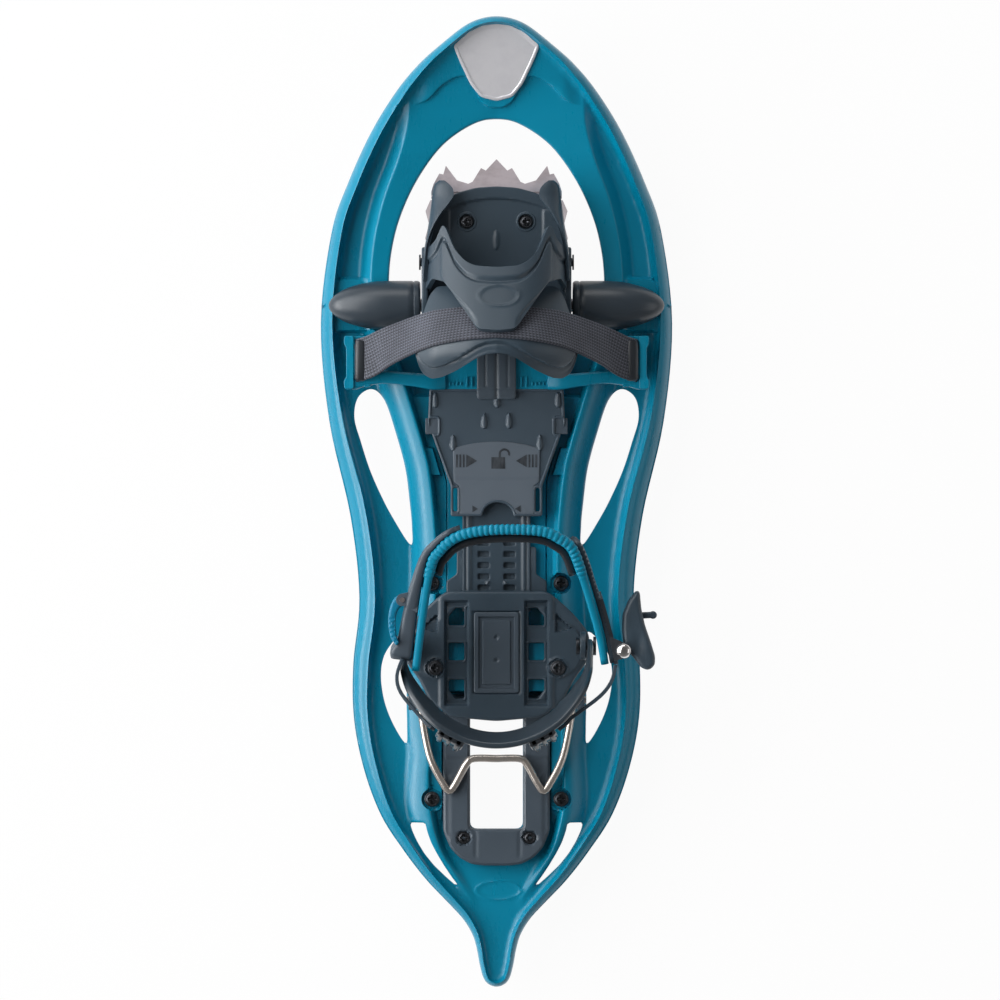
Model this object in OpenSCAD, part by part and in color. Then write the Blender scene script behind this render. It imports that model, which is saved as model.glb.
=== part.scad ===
// Moulded snowshoe for the right foot: a one-piece deck, a binding that pivots under the ball of the foot,
// a heel carriage that slides for size, an ankle harness with a ratchet, and a wire heel lifter.
// Millimetres. +X is the wearer's right, +Y is towards the toe, +Z is up, and z = 0 is the tips of the spikes.

/* [Deck] */
// Length from the toe tip to the tail tip
deck_length = 570; // [550:1:620]
// Width at the widest place
deck_width = 207; // [202:1:226]
// Thickness of the deck sheet
deck_t = 4; // [3:0.5:5]
// Height of the edge rim above the sheet
rim_rise = 9; // [6:0.5:10]
// Width of the edge rim
rim_w = 7; // [5:0.5:8]
// Height of the two inner rails above the sheet
rail_rise = 13; // [12:0.5:16]
// Height of the rails behind the heel
rear_rail_rise = 8; // [7:0.5:10]
// Width of the rails beside the binding
rail_w = 15; // [12:0.5:16]
// Width of the ridge along the front opening
ridge_w = 8; // [6:0.5:10]
// Height of the ridge along the front opening
ridge_rise = 8; // [6:0.5:10]
// Rise of the toe tip
toe_rise = 36; // [24:1:44]
// Rise of the tail tip
tail_rise = 8; // [2:1:14]
// Width of the long window behind the heel
rear_window_w = 31; // [26:0.5:34]
// Width of the toe badge
badge_w = 48; // [36:1:52]
// Thickness of the toe badge
badge_t = 1.6; // [1:0.2:2.4]

/* [Spikes and screws] */
// Height of the spikes under the deck
spike_h = 18; // [14:1:24]
// Thickness of a spike blade
spike_t = 3; // [2:0.5:4]
// Diameter of a spike flange
flange_d = 16; // [13:0.5:18]
// Diameter of a screw shank
screw_d = 4; // [3:0.25:5]
// Diameter of a screw head
screw_head_d = 9; // [8:0.25:10]
// Height of a screw head
screw_head_h = 2.5; // [2:0.1:3]

/* [Pivot] */
// Distance of the pivot axle in front of the deck's middle
axle_y = 116; // [112:0.5:120]
// Height of the axle above the deck sheet
axle_rise = 13; // [12:0.5:16]
// Diameter of the axle
axle_d = 8; // [6:0.5:9]
// Wall of the bushes on the axle
bush_wall = 1.5; // [1:0.1:2]
// Wall of the hinge barrel around its bushes
barrel_wall = 1.4; // [1.2:0.1:2]
// Diameter of the bullet-shaped pivot caps
cap_d = 29; // [27:0.5:31]
// Length of a pivot cap
cap_length = 54; // [52:0.5:56]
// Running clearance between a pin and its bore
run_clear = 0.05; // [0.02:0.01:0.1]

/* [Binding] */
// Width of the toe plate
toe_plate_w = 79; // [74:0.5:80]
// Thickness of the toe plate
toe_plate_t = 3.3; // [2.6:0.1:5]
// Thickness of the steel toe claw
claw_t = 2.5; // [2:0.1:3]
// Length of the claw's front flange
claw_reach = 30; // [24:0.5:32]
// Height of the toe hood above the toe plate
hood_h = 38; // [32:0.5:46]
// Thickness of the toe hood
hood_t = 3; // [2:0.1:3.4]
// Width of the toe strap
strap_w = 26; // [20:0.5:27]
// Thickness of the toe strap
strap_t = 2; // [1.4:0.1:2.6]
// Thickness of the pad under the toe strap
pad_t = 3; // [2:0.1:4]
// Gap between soft pieces that lie on each other
soft_gap = 0.4; // [0.3:0.05:0.6]
// Width across the two strap loops
loop_span = 180; // [172:1:186]
// Thickness of the strap arms
arm_t = 5; // [4:0.5:7]
// Width of the strap arms
arm_w = 12; // [9:0.5:13]

/* [Size slide] */
// Thickness of the size track
track_t = 4; // [3:0.5:5]
// Width of the ladder tongue
tongue_w = 40; // [34:0.5:42]
// Thickness of the ladder tongue
tongue_t = 4; // [3:0.5:5]
// Clearance around the sliding tongue
slide_clear = 0.5; // [0.3:0.1:0.8]
// Thickness of the size cover's top
cover_t = 4; // [3:0.5:5]
// Wall of the size cover
cover_wall = 3; // [2:0.5:4]
// Step between two sizes
size_pitch = 6.6; // [5:0.1:7]
// Length of a lock button along the shoe
button_l = 9.4; // [7:0.2:11]
// Travel of a lock button
button_travel = 3; // [2:0.25:3.25]

/* [Heel] */
// Thickness of the heel platform
platform_t = 6; // [5:0.5:8]
// Gap between the rails and the heel platform
platform_gap = 1; // [0.5:0.1:2]
// Diameter of the harness pivot rivets
rivet_d = 6; // [4:0.5:7]
// Height of the harness pivots above the heel platform
harness_rise = 10; // [9:0.5:12]
// Thickness of the harness lugs on the heel platform
lug_t = 3.5; // [2.5:0.5:4]
// Thickness of the heel rest plate
rest_t = 8.4; // [7:0.2:8.8]
// Width of the heel rest plate
rest_w = 63; // [56:1:64]
// Diameter of the heel lifter wire
wire_d = 4.5; // [3.5:0.25:5]

/* [Harness] */
// Thickness of the heel cup
cup_t = 3.5; // [2.5:0.25:4]
// Thickness of the ankle pad
ankle_t = 5; // [4:0.5:6]
// Thickness of the ladder strap, the heel straps and the ankle liner
thin_t = 2; // [1.4:0.1:2.4]
// Diameter of the ratchet pin
ratchet_pin_d = 5; // [3:0.5:5.5]
// Height of the ratchet lever
lever_h = 18; // [14:1:22]
// Thickness of the ratchet base and its ears
base_t = 2.2; // [1.8:0.1:2.4]
// Height of the adjuster lever
adjuster_h = 10; // [8:0.5:14]
// Diameter of the adjuster pin and the release tab's pin
small_pin_d = 3; // [2:0.25:3]

/* [Hidden] */
$fn = 48;

teal = [0.03, 0.45, 0.58];
bright_teal = [0.05, 0.56, 0.68];
dark_grey = [0.25, 0.27, 0.30];
mid_grey = [0.36, 0.38, 0.41];
steel = [0.66, 0.64, 0.66];
black = [0.07, 0.07, 0.08];
silver = [0.83, 0.82, 0.83];

// Heights, from the spikes up.
deck_bottom = spike_h;
deck_top = deck_bottom + deck_t;
rail_top = deck_top + rail_rise;
rear_rail_top = deck_top + rear_rail_rise;
axle_z = deck_top + axle_rise;
bush_r = axle_d / 2 + run_clear + bush_wall;
barrel_r = bush_r + run_clear + barrel_wall;
seat_z = axle_z - axle_d;
toe_plate_z = axle_z + barrel_r;
toe_top = toe_plate_z + toe_plate_t;
track_z = deck_top + 1.5;
track_top = track_z + track_t;
tongue_z = track_top + slide_clear;
cover_z = tongue_z + tongue_t + slide_clear;
cover_top = cover_z + cover_t;
arm_z = rail_top + 1.5;
platform_z = max(rail_top + platform_gap, cover_z + 1);
platform_top = platform_z + platform_t;
harness_y = -84;
harness_z = platform_top + harness_rise;
wire_r = wire_d / 2;
lifter_z = rear_rail_top + 0.75 + wire_r;
lifter_y = -116;
overlap = 1;

// Outline of the deck, right half from toe to tail, before it is set to the deck's own width and length.
outline_half = [
    [0, 285], [18, 281], [46, 257.5], [75, 217.5], [97, 161], [103.5, 106], [98.5, 48], [86, -8], [80.5, -56],
    [84.5, -106], [76.5, -163], [43, -220], [29, -236], [17, -249], [11.5, -264], [7, -280], [0, -285]
];
outline_size = [2 * max([for (p = outline_half) p.x]), 2 * outline_half[0].y];
toe_end = deck_length / 2;
toe_start = 150;

function deck_point(p) = [p.x * deck_width / outline_size.x, p.y * deck_length / outline_size.y];
// In front of the binding, what is drawn for the outline's own toe follows the deck's length.
function toe_y(y) = y < toe_start ? y : mix(toe_start, toe_end, (y - toe_start) / (outline_size.y / 2 - toe_start));

// Centre line of a rail, from the front ridge to the tail, on the right.
rail_points = [
    [49, 236], [50.5, 220], [56, 200], [64, 178], [69.5, 154], [71.5, 130], [70.5, 108], [66, 88], [60, 70],
    [49, 34], [44.5, 14], [41, -25], [41.5, -60], [44, -100], [44.5, -125], [43, -150], [40.5, -170],
    [37.8, -188], [32.7, -205], [23.7, -220], [15, -233]
];

function cr(a, b, c, d, t) =
    0.5 * (2 * b + (c - a) * t + (2 * a - 5 * b + 4 * c - d) * t * t + (3 * b - a - 3 * c + d) * t * t * t);
function ring_spline(p, n) =
    let (m = len(p)) [for (i = [0 : m - 1]) for (j = [0 : n - 1])
        cr(p[(i + m - 1) % m], p[i], p[(i + 1) % m], p[(i + 2) % m], j / n)];
function open_spline(p, n) =
    let (e = len(p) - 1) concat([for (i = [0 : e - 1]) for (j = [0 : n - 1])
        cr(p[max(i - 1, 0)], p[i], p[i + 1], p[min(i + 2, e)], j / n)], [p[e]]);
function flip_x(p) = [for (i = [len(p) - 1 : -1 : 0]) [-p[i].x, p[i].y]];
function whole(half) = concat(half, [for (p = flip_x(half)) if (p.x < -0.01) p]);
function unit(v) = v / norm(v);
function mix(a, b, t) = a + (b - a) * t;
function xyz(p) = [p[0], p[1], p[2]];
function reversed(p) = [for (i = [len(p) - 1 : -1 : 0]) p[i]];

deck_outline = ring_spline([for (p = whole(outline_half)) deck_point(p)], 6);
edge_table = [for (p = deck_outline) if (p.x >= 0) [p.y, p.x]];
rail_line = open_spline([for (p = rail_points) [p.x, toe_y(p.y)]], 3);
rail_table = [for (p = rail_line) [p.y, p.x]];
rail_width_table = [
    [-233, 6], [-188, 7.4], [-165, 10], [-135, rail_w], [70, rail_w], [100, 12], [130, ridge_w], [toe_y(236), ridge_w - 1]
];

function edge_x(y) = lookup(y, edge_table);
function rail_x(y) = lookup(y, rail_table);
function rail_half(y) = lookup(y, rail_width_table) / 2;
// A place between the rail's outer side (0) and the deck's edge (1).
function web_point(p) = [mix(rail_x(p.y) + rail_half(p.y), edge_x(p.y), p.x), p.y];

// Windows of the deck: the front opening in X and Y, the side windows by their place between rail and edge.
front_opening = [
    [0, 225.5], [14, 222.5], [32, 210], [47, 189.5], [57, 167.5], [62, 147], [63.5, 128], [63.5, 108], [58, 97],
    [40, 93], [0, 92]
];
upper_window = [
    [0.04, 60], [0.02, 40], [0.02, 20], [0.02, 0], [0.02, -14], [0.06, -25], [0.33, -8], [0.47, 6], [0.555, 20],
    [0.585, 36], [0.6, 50], [0.47, 62], [0.2, 67]
];
middle_window = [
    [0.06, -82], [0.03, -95], [0.03, -115], [0.03, -132], [0.09, -142], [0.28, -131], [0.43, -117], [0.5, -102],
    [0.46, -90], [0.28, -80], [0.12, -76]
];
rear_window = [
    [0.1, -190], [0.05, -198], [0.05, -207], [0.05, -216], [0.14, -225], [0.2, -219], [0.36, -213], [0.43, -205],
    [0.45, -197], [0.42, -190]
];
tail_window_y = [-192, -118];

// Curve of the toe and tail: flat in the middle, then a parabola, then a straight toe.
kick_y = 140;
toe_flat_y = toe_y(228);
tail_kick_y = -215;
kick_span = toe_flat_y - kick_y;
kick_a = toe_rise / (kick_span * kick_span + 2 * kick_span * (toe_end - toe_flat_y));
toe_slope = 2 * kick_a * kick_span;

function toe_lift(y) =
    y < kick_y ? 0
    : y < toe_flat_y ? kick_a * (y - kick_y) * (y - kick_y)
    : kick_a * kick_span * kick_span + toe_slope * (y - toe_flat_y);
function tail_lift(y) = y > tail_kick_y ? 0 : tail_rise * pow((tail_kick_y - y) / (tail_kick_y + toe_end), 2);
function lift(y) = toe_lift(y) + tail_lift(y);

lift_stations = concat(
    [for (i = [0 : 5]) mix(-toe_end - overlap, tail_kick_y, i / 5)],
    [for (i = [0 : 7]) mix(kick_y, toe_flat_y, i / 7)],
    [toe_end + overlap]
);
rail_rise_table = [
    [-233, 3], [-215, 5], [-190, rear_rail_rise], [-106, rear_rail_rise], [-96, rail_rise], [95, rail_rise],
    [132, ridge_rise], [toe_y(218), ridge_rise], [toe_y(236), 2]
];
rim_rise_table = [[-285, 3], [-245, 5], [-215, rim_rise], [200, rim_rise], [285, 5]];
rail_stations = concat(
    [-234, -225, -215, -190, -106, -96, 95, 132], [for (i = [1 : 6]) mix(kick_y, toe_y(218), i / 6)], [toe_y(237)]
);
rim_stations = concat(
    [for (i = [0 : 5]) mix(-toe_end - overlap, tail_kick_y, i / 5)],
    [for (i = [0 : 7]) mix(kick_y, toe_flat_y, i / 7)],
    [toe_end + overlap]
);

// A slab across the whole deck between two heights that change along Y.
module slab(stations, low, high) {
    n = len(stations);
    points = concat(
        [for (i = [0 : n - 1]) [stations[i], low[i]]],
        [for (i = [n - 1 : -1 : 0]) [stations[i], high[i]]]
    );
    rotate([90, 0, 90])
        linear_extrude(deck_width + 20, center = true)
            polygon(points);
}

module plan(height = 200) {
    translate([0, 0, -20])
        linear_extrude(height)
            children();
}

module both_sides() {
    children();
    mirror([1, 0, 0])
        children();
}

module x_rod(x0, x1, r) {
    translate([x0, 0, 0])
        rotate([0, 90, 0])
            cylinder(h = x1 - x0, r = r);
}

// A solid through a list of rings of points, each seen clockwise along the path.
module skin(rings) {
    n = len(rings[0]);
    m = len(rings);
    sides = [for (i = [0 : m - 2]) for (j = [0 : n - 1])
        let (k = (j + 1) % n, a = i * n + j, b = (i + 1) * n + j, c = (i + 1) * n + k, d = i * n + k)
        each [[a, b, c], [a, c, d]]];
    start = [for (j = [1 : n - 2]) [0, j, j + 1]];
    end = [for (j = [1 : n - 2]) [(m - 1) * n, (m - 1) * n + j + 1, (m - 1) * n + j]];
    polyhedron(points = [for (r = rings) each r], faces = concat(start, sides, end));
}

function heading(p, i) = unit(xyz(p[min(i + 1, len(p) - 1)]) - xyz(p[max(i - 1, 0)]));
function outward(t) = unit(cross(t, [0, 0, 1]));

// A band that stands on edge along a path of points [x, y, z, half height, half thickness, inward foot].
module ribbon(p) {
    skin([for (i = [0 : len(p) - 1])
        let (
            t = heading(p, i), n = outward(t) * p[i][4], u = cross(outward(t), t) * p[i][3], c = xyz(p[i]),
            foot = outward(t) * (len(p[i]) > 5 ? p[i][5] : 0)
        )
        [c + n + u, c + n - u, c - n - u - foot, c - n + u]]);
}

// A path moved outward and up, with its own half height and half thickness.
function beside(p, out, up, half_h, half_t) =
    [for (i = [0 : len(p) - 1])
        let (c = xyz(p[i]) + outward(heading(p, i)) * out + [0, 0, up]) [c.x, c.y, c.z, half_h, half_t]];

module screw(shank) {
    difference() {
        cylinder(h = screw_head_h, d = screw_head_d);
        translate([0, 0, screw_head_h - 1.2])
            cylinder(h = 2, d = screw_d, $fn = 6);
    }
    translate([0, 0, -shank])
        cylinder(h = shank + overlap, d = screw_d);
}

module screw_hole(depth) {
    translate([0, 0, -depth])
        cylinder(h = depth + overlap, d = screw_d + 0.4);
}

// Inward side of the deck outline, which runs clockwise.
function rim_inset(y) = lookup(y, [[-300, 2.6], [-262, 4], [-235, rim_w], [300, rim_w]]);
rim_inner = let (m = len(deck_outline)) [for (i = [0 : m - 1])
    let (t = unit(deck_outline[(i + 1) % m] - deck_outline[(i + m - 1) % m]))
    deck_outline[i] + rim_inset(deck_outline[i].y) * [t.y, -t.x]];

front_spike = [79.5, 92];
waist_spike = [38, -47.5];
tail_spike = [rest_w / 2 + 6.5, -174.5];
spike_pocket_z = deck_top + 4;
cap_screw_x = 91;
rest_screw = [20, -197];

cap_r = cap_d / 2;
cap_x = toe_plate_w / 2 + hood_t + 2.2;
cap_bush_r = bush_r + 0.4;
cap_seat_x = 64.5;
axle_half = cap_x + 39.5;
ring_r = axle_d / 2 + 2.6;

// Half section of a pivot cap: a rounded inner end, a straight part and a bullet nose.
function cap_section(extra) = concat(
    [[0, -extra], [cap_r - 1.5 + extra, -extra], [cap_r + extra, 1.5]],
    [for (i = [0 : 8]) let (t = i / 8)
        [cap_r * sqrt(1 - 0.93 * t * t) + extra, mix(cap_length * 0.46, cap_length, t) + extra * t]],
    [[0, cap_length + extra]]
);

module bullet(extra) {
    translate([cap_x, axle_y, axle_z])
        rotate([0, 90, 0])
            rotate_extrude()
                polygon(cap_section(extra));
}

module above_seat() {
    translate([cap_x - overlap, axle_y - cap_d, seat_z])
        cube([cap_length + 10, 2 * cap_d, 2 * cap_d]);
}

module windows() {
    polygon(ring_spline(whole([for (p = front_opening) [p.x, toe_y(p.y)]]), 5));
    both_sides() {
        polygon(ring_spline([for (p = upper_window) web_point(p)], 4));
        polygon(ring_spline([for (p = middle_window) web_point(p)], 4));
        polygon(ring_spline([for (p = rear_window) web_point(p)], 4));
    }
    translate([-rear_window_w / 2, tail_window_y[0]])
        square([rear_window_w, tail_window_y[1] - tail_window_y[0]]);
}

module rails() {
    intersection() {
        plan()
            both_sides()
                polygon(concat(
                    [for (p = rail_line) [p.x + rail_half(p.y), p.y]],
                    [for (p = reversed(rail_line)) [p.x - rail_half(p.y), p.y]]
                ));
        slab(
            rail_stations,
            [for (y = rail_stations) deck_bottom + deck_t / 2 + lift(y)],
            [for (y = rail_stations) deck_top + lookup(y, rail_rise_table) + lift(y)]
        );
    }
}

module rim() {
    intersection() {
        plan()
            difference() {
                polygon(deck_outline);
                polygon(rim_inner);
            }
        slab(
            rim_stations,
            [for (y = rim_stations) deck_bottom + lift(y)],
            [for (y = rim_stations) deck_top + lookup(y, rim_rise_table) + lift(y)]
        );
    }
}

module sheet() {
    intersection() {
        plan()
            difference() {
                polygon(deck_outline);
                windows();
            }
        slab(
            lift_stations,
            [for (y = lift_stations) deck_bottom + lift(y)],
            [for (y = lift_stations) deck_top + lift(y)]
        );
    }
}

module deck_frame() {
    color(teal)
        difference() {
            union() {
                sheet();
                rim();
                rails();
                both_sides()
                    translate([cap_seat_x, axle_y - cap_r, deck_bottom + deck_t / 2])
                        cube([cap_x + cap_length - cap_seat_x - 2, cap_d, seat_z - deck_bottom - deck_t / 2]);
            }
            both_sides() {
                intersection() {
                    bullet(0.4);
                    above_seat();
                }
                translate([front_spike.x, front_spike.y, deck_top])
                    screw_hole(deck_t + overlap);
                for (p = [waist_spike, tail_spike]) {
                    translate([p.x, p.y, spike_pocket_z])
                        cylinder(h = 20, d = screw_head_d + 3);
                    translate([p.x, p.y, spike_pocket_z])
                        screw_hole(spike_pocket_z - deck_bottom + overlap);
                }
                translate([cap_screw_x, axle_y, seat_z])
                    screw_hole(seat_z - deck_bottom + overlap);
                translate([rest_screw.x, rest_screw.y, deck_top])
                    screw_hole(deck_t + overlap);
            }
        }
}

badge_edge = 2;
badge_top = toe_end - rim_w - badge_edge;
badge_bottom = toe_y(front_opening[0].y) + 9.5;
badge_length = badge_top - badge_bottom;
badge_half = [[0, 1], [0.55, 0.915], [1, 0.78], [0.88, 0.585], [0.62, 0.268], [0.42, 0.073], [0, 0]];

// Bare shield-shaped plate on the straight part of the toe.
module toe_badge() {
    shape = [for (p = badge_half) [p.x * badge_w / 2, p.y * badge_length / cos(atan(toe_slope))]];
    color(silver)
        translate([0, badge_bottom, deck_top + lift(badge_bottom)])
            rotate([atan(toe_slope), 0, 0])
                linear_extrude(badge_t)
                    polygon(ring_spline(whole(shape), 4));
}

module pivot_cap() {
    difference() {
        intersection() {
            bullet(0);
            union() {
                above_seat();
                translate([cap_x - overlap, axle_y - cap_d, axle_z - cap_d])
                    cube([cap_seat_x - cap_x - 2 + overlap, 2 * cap_d, 2 * cap_d]);
            }
        }
        translate([0, axle_y, axle_z]) {
            x_rod(cap_x - overlap, cap_x + 27, cap_bush_r + run_clear);
            x_rod(cap_x + 26, axle_half + 1.5, ring_r + 0.8);
        }
        translate([cap_screw_x, axle_y, seat_z - overlap])
            cylinder(h = 6 + overlap, d = screw_d + 0.1);
    }
}

module pivot_cap_right() {
    color(dark_grey)
        pivot_cap();
}

module pivot_cap_left() {
    color(dark_grey)
        mirror([1, 0, 0])
            pivot_cap();
}

module pivot_axle() {
    color(steel)
        translate([0, axle_y, axle_z])
            x_rod(-axle_half, axle_half, axle_d / 2);
}

module axle_bushes() {
    color(black)
        both_sides()
            translate([0, axle_y, axle_z])
                difference() {
                    x_rod(cap_x + 0.5, cap_x + 25.5, cap_bush_r);
                    x_rod(cap_x, cap_x + 30, axle_d / 2 + run_clear);
                }
}

module axle_rings() {
    color(steel)
        both_sides()
            translate([0, axle_y, axle_z])
                difference() {
                    x_rod(axle_half - 4, axle_half - 2, ring_r);
                    x_rod(axle_half - 5, axle_half, axle_d / 2 + run_clear);
                }
}

module cap_screws() {
    color(black)
        both_sides()
            translate([cap_screw_x, axle_y, deck_bottom])
                rotate([180, 0, 0])
                    screw(seat_z - deck_bottom + 5);
}

rest_top = deck_top + rest_t;

rest_half = rest_w / 2;
rest_y = [-113, -196, -205, -211, -213.5];
rest_shape = [
    [rear_window_w / 2, rest_y[0]], [rest_half, rest_y[0]], [rest_half, rest_y[1]], [rest_half - 5, rest_y[2]],
    [rest_half - 13, rest_y[3]], [0, rest_y[4]], [13 - rest_half, rest_y[3]], [5 - rest_half, rest_y[2]],
    [-rest_half, rest_y[1]], [-rest_half, rest_y[0]], [-rear_window_w / 2, rest_y[0]],
    [-rear_window_w / 2, tail_window_y[0]], [rear_window_w / 2, tail_window_y[0]]
];

module heel_rest() {
    color(mid_grey)
        difference() {
            translate([0, 0, deck_top])
                linear_extrude(rest_t)
                    polygon(rest_shape);
            both_sides()
                translate([rest_screw.x, rest_screw.y, rest_top - screw_head_h - 0.3]) {
                    cylinder(h = 10, d = screw_head_d + 1);
                    screw_hole(rest_t + overlap);
                }
        }
}

module heel_rest_screws() {
    color(black)
        both_sides()
            translate([rest_screw.x, rest_screw.y, rest_top - screw_head_h - 0.3])
                screw(rest_t + deck_t - screw_head_h - 0.6);
}

module spike() {
    difference() {
        union() {
            translate([0, 0, -2])
                cylinder(h = 2, d = flange_d);
            rotate([90, 0, 90])
                linear_extrude(spike_t, center = true)
                    polygon([[-7, -1.5], [7, -1.5], [1.5, -spike_h], [-1.5, -spike_h]]);
            rotate([90, 0, 0])
                linear_extrude(spike_t, center = true)
                    polygon([[-6, -1.5], [6, -1.5], [1.5, 4 - spike_h], [-1.5, 4 - spike_h]]);
        }
        translate([0, 0, -1.6])
            cylinder(h = 4, d = screw_d + 0.1);
    }
}

module deck_spikes() {
    color(steel)
        both_sides()
            for (p = [front_spike, waist_spike, tail_spike])
                translate([p.x, p.y, deck_bottom])
                    spike();
}

module spike_screws() {
    color(black)
        both_sides() {
            translate([front_spike.x, front_spike.y, deck_top])
                screw(deck_t + 1);
            for (p = [waist_spike, tail_spike])
                translate([p.x, p.y, spike_pocket_z])
                    screw(spike_pocket_z - deck_bottom + 1);
        }
}

clip_x = [47.2, 51.8];

module lifter_clip() {
    difference() {
        translate([clip_x[0], lifter_y - 6, rear_rail_top])
            cube([clip_x[1] - clip_x[0], 12, lifter_z - rear_rail_top + wire_r + 2.5]);
        translate([0, lifter_y, lifter_z])
            x_rod(clip_x[0] - 1, clip_x[1] + 1, wire_r + run_clear);
    }
}

module lifter_clip_right() {
    color(dark_grey)
        lifter_clip();
}

module lifter_clip_left() {
    color(dark_grey)
        mirror([1, 0, 0])
            lifter_clip();
}

// Route of the wire, right half from the pivot to the middle of the crossbar.
wire_half = [
    [44, -116], [43.5, -128], [39, -150], [31, -166], [27.5, -169.5], [24, -165], [18, -154], [13.5, -150.5],
    [0, -150.5]
];
wire_path = open_spline(concat(wire_half, [for (p = flip_x(wire_half)) if (p.x < -0.01) p]), 3);
wire_sides = 12;

module heel_lifter() {
    route = [for (p = wire_path) [p.x, p.y, lifter_z]];
    color(steel) {
        skin([for (i = [0 : len(route) - 1])
            let (t = heading(route, i), n = outward(t))
            [for (k = [0 : wire_sides - 1])
                let (a = 360 * k / wire_sides)
                route[i] + wire_r * (cos(a) * [0, 0, 1] + sin(a) * n)]]);
        both_sides()
            translate([0, lifter_y, lifter_z])
                x_rod(44 - wire_r, clip_x[1] + 1, wire_r);
    }
}

base_half = 36;
base_y = [66, 92];
loop_half = loop_span / 2;
bar_w = 4;
loop_slot = 8;
loop_front = 100;

module binding_base() {
    riser_w = 12;
    arm_top = arm_z + arm_t;
    color(teal)
        difference() {
            union() {
                translate([0, axle_y, axle_z])
                    x_rod(-toe_plate_w / 2 + 1.5, toe_plate_w / 2 - 1.5, barrel_r);
                rotate([90, 0, 90])
                    linear_extrude(2 * base_half, center = true)
                        polygon([
                            [base_y[0], track_top], [base_y[1], track_top], [axle_y, axle_z - 3],
                            [axle_y, toe_plate_z - 0.4], [base_y[1] + 6, toe_plate_z], [base_y[1] + 4, toe_plate_z],
                            [base_y[1] - 2, cover_top - 0.5], [base_y[0], cover_top - 0.5]
                        ]);
                both_sides() {
                    translate([base_half - 3, base_y[0], track_top])
                        cube([riser_w, arm_w, arm_top - track_top]);
                    translate([base_half, base_y[0], arm_z])
                        cube([loop_half - base_half, arm_w, arm_t]);
                    translate([loop_half - bar_w, base_y[0], arm_z])
                        cube([bar_w, loop_front - base_y[0], arm_t]);
                    translate([loop_half - 2 * bar_w - loop_slot, base_y[0], arm_z])
                        cube([bar_w, loop_front - base_y[0], arm_t]);
                    translate([loop_half - 2 * bar_w - loop_slot, loop_front - bar_w, arm_z])
                        cube([2 * bar_w + loop_slot, bar_w, arm_t]);
                }
            }
            translate([0, axle_y, axle_z])
                x_rod(-100, 100, bush_r + run_clear);
        }
}

module hinge_bushes() {
    x1 = toe_plate_w / 2 - 1.5;
    color(black)
        both_sides()
            translate([0, axle_y, axle_z])
                difference() {
                    x_rod(x1 - 20, x1, bush_r);
                    x_rod(x1 - 21, x1 + 1, axle_d / 2 + run_clear);
                }
}

toe_half = toe_plate_w / 2;
toe_screw = [17.3, 165];
claw_top = toe_plate_z;
claw_y = [128, 184];
hood_rivet = [141, 7];
hood_rivet_r = 2.5;

toe_ear_w = 11;
toe_ear_y = 174;
toe_wall_t = 2.4;
toe_wall_y = [110, 149];
toe_front = [
    [toe_half, 97], [toe_half, 172], [toe_half - 5, 181], [toe_half - 20, 187], [0, 189], [20 - toe_half, 187],
    [5 - toe_half, 181], [-toe_half, 172], [-toe_half, 97]
];

module toe_plate() {
    color(dark_grey)
        difference() {
            union() {
                translate([0, 0, toe_plate_z])
                    linear_extrude(toe_plate_t)
                        polygon(open_spline(toe_front, 4));
                both_sides() {
                    translate([toe_half - toe_wall_t, toe_wall_y[0], toe_plate_z])
                        cube([toe_wall_t, toe_wall_y[1] - toe_wall_y[0], toe_plate_t + 11]);
                    translate([toe_half - 4 - toe_ear_w, toe_ear_y, toe_plate_z])
                        rotate([0, 0, 20])
                            cube([toe_ear_w, 3, toe_plate_t + 12]);
                }
            }
            both_sides() {
                translate([toe_screw.x, toe_screw.y, toe_top])
                    screw_hole(toe_plate_t + overlap);
                translate([0, hood_rivet[0], toe_top + hood_rivet[1]])
                    x_rod(toe_half - 6, toe_half + 6, hood_rivet_r + 0.1);
            }
        }
}

claw_half = toe_half - 2.5;

// Flange teeth in the flange's own plane: length along the fold, then reach from the fold.
module claw_front() {
    r = claw_reach;
    polygon([
        [-claw_half + 3, -3], [-claw_half + 3, r - 21], [-claw_half + 1, r - 16], [-claw_half + 4, r - 12],
        [-29.5, r - 4], [-25, r - 11.5], [-21.5, r - 10], [-16, r - 18], [-12.5, r - 9.5], [-9, r - 6.5],
        [-5.5, r - 8], [0, r], [5.5, r - 8], [9, r - 6.5], [12.5, r - 9.5], [16, r - 18], [21.5, r - 10],
        [25, r - 11.5], [29.5, r - 4], [claw_half - 4, r - 12], [claw_half - 1, r - 16], [claw_half - 3, r - 21],
        [claw_half - 3, -3]
    ]);
}

module claw_side() {
    polygon([
        [claw_y[0] + 6, -2], [claw_y[0] + 6, 12], [claw_y[0] + 12, 24], [claw_y[0] + 20, 14], [claw_y[0] + 28, 25],
        [claw_y[0] + 36, 14], [claw_y[0] + 44, 24], [claw_y[0] + 50, 10], [claw_y[0] + 50, -2]
    ]);
}

module toe_claw() {
    color(steel)
        difference() {
            union() {
                translate([-claw_half, claw_y[0], claw_top - claw_t])
                    cube([2 * claw_half, claw_y[1] - claw_y[0], claw_t]);
                translate([0, claw_y[1] - 2, claw_top])
                    rotate([-55, 0, 0])
                        translate([0, 0, -claw_t])
                            linear_extrude(claw_t)
                                claw_front();
                both_sides()
                    translate([claw_half - claw_t, 0, claw_top - 0.5])
                        rotate([0, 78, 0])
                            linear_extrude(claw_t)
                                rotate([0, 0, 90])
                                    mirror([0, 1, 0])
                                        claw_side();
            }
            both_sides()
                translate([toe_screw.x, toe_screw.y, toe_plate_z])
                    screw_hole(claw_t + overlap);
            translate([-claw_half - overlap, claw_y[0], claw_top])
                cube([2 * (claw_half + overlap), claw_y[1] - claw_y[0] + claw_reach, claw_reach]);
        }
}

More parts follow.
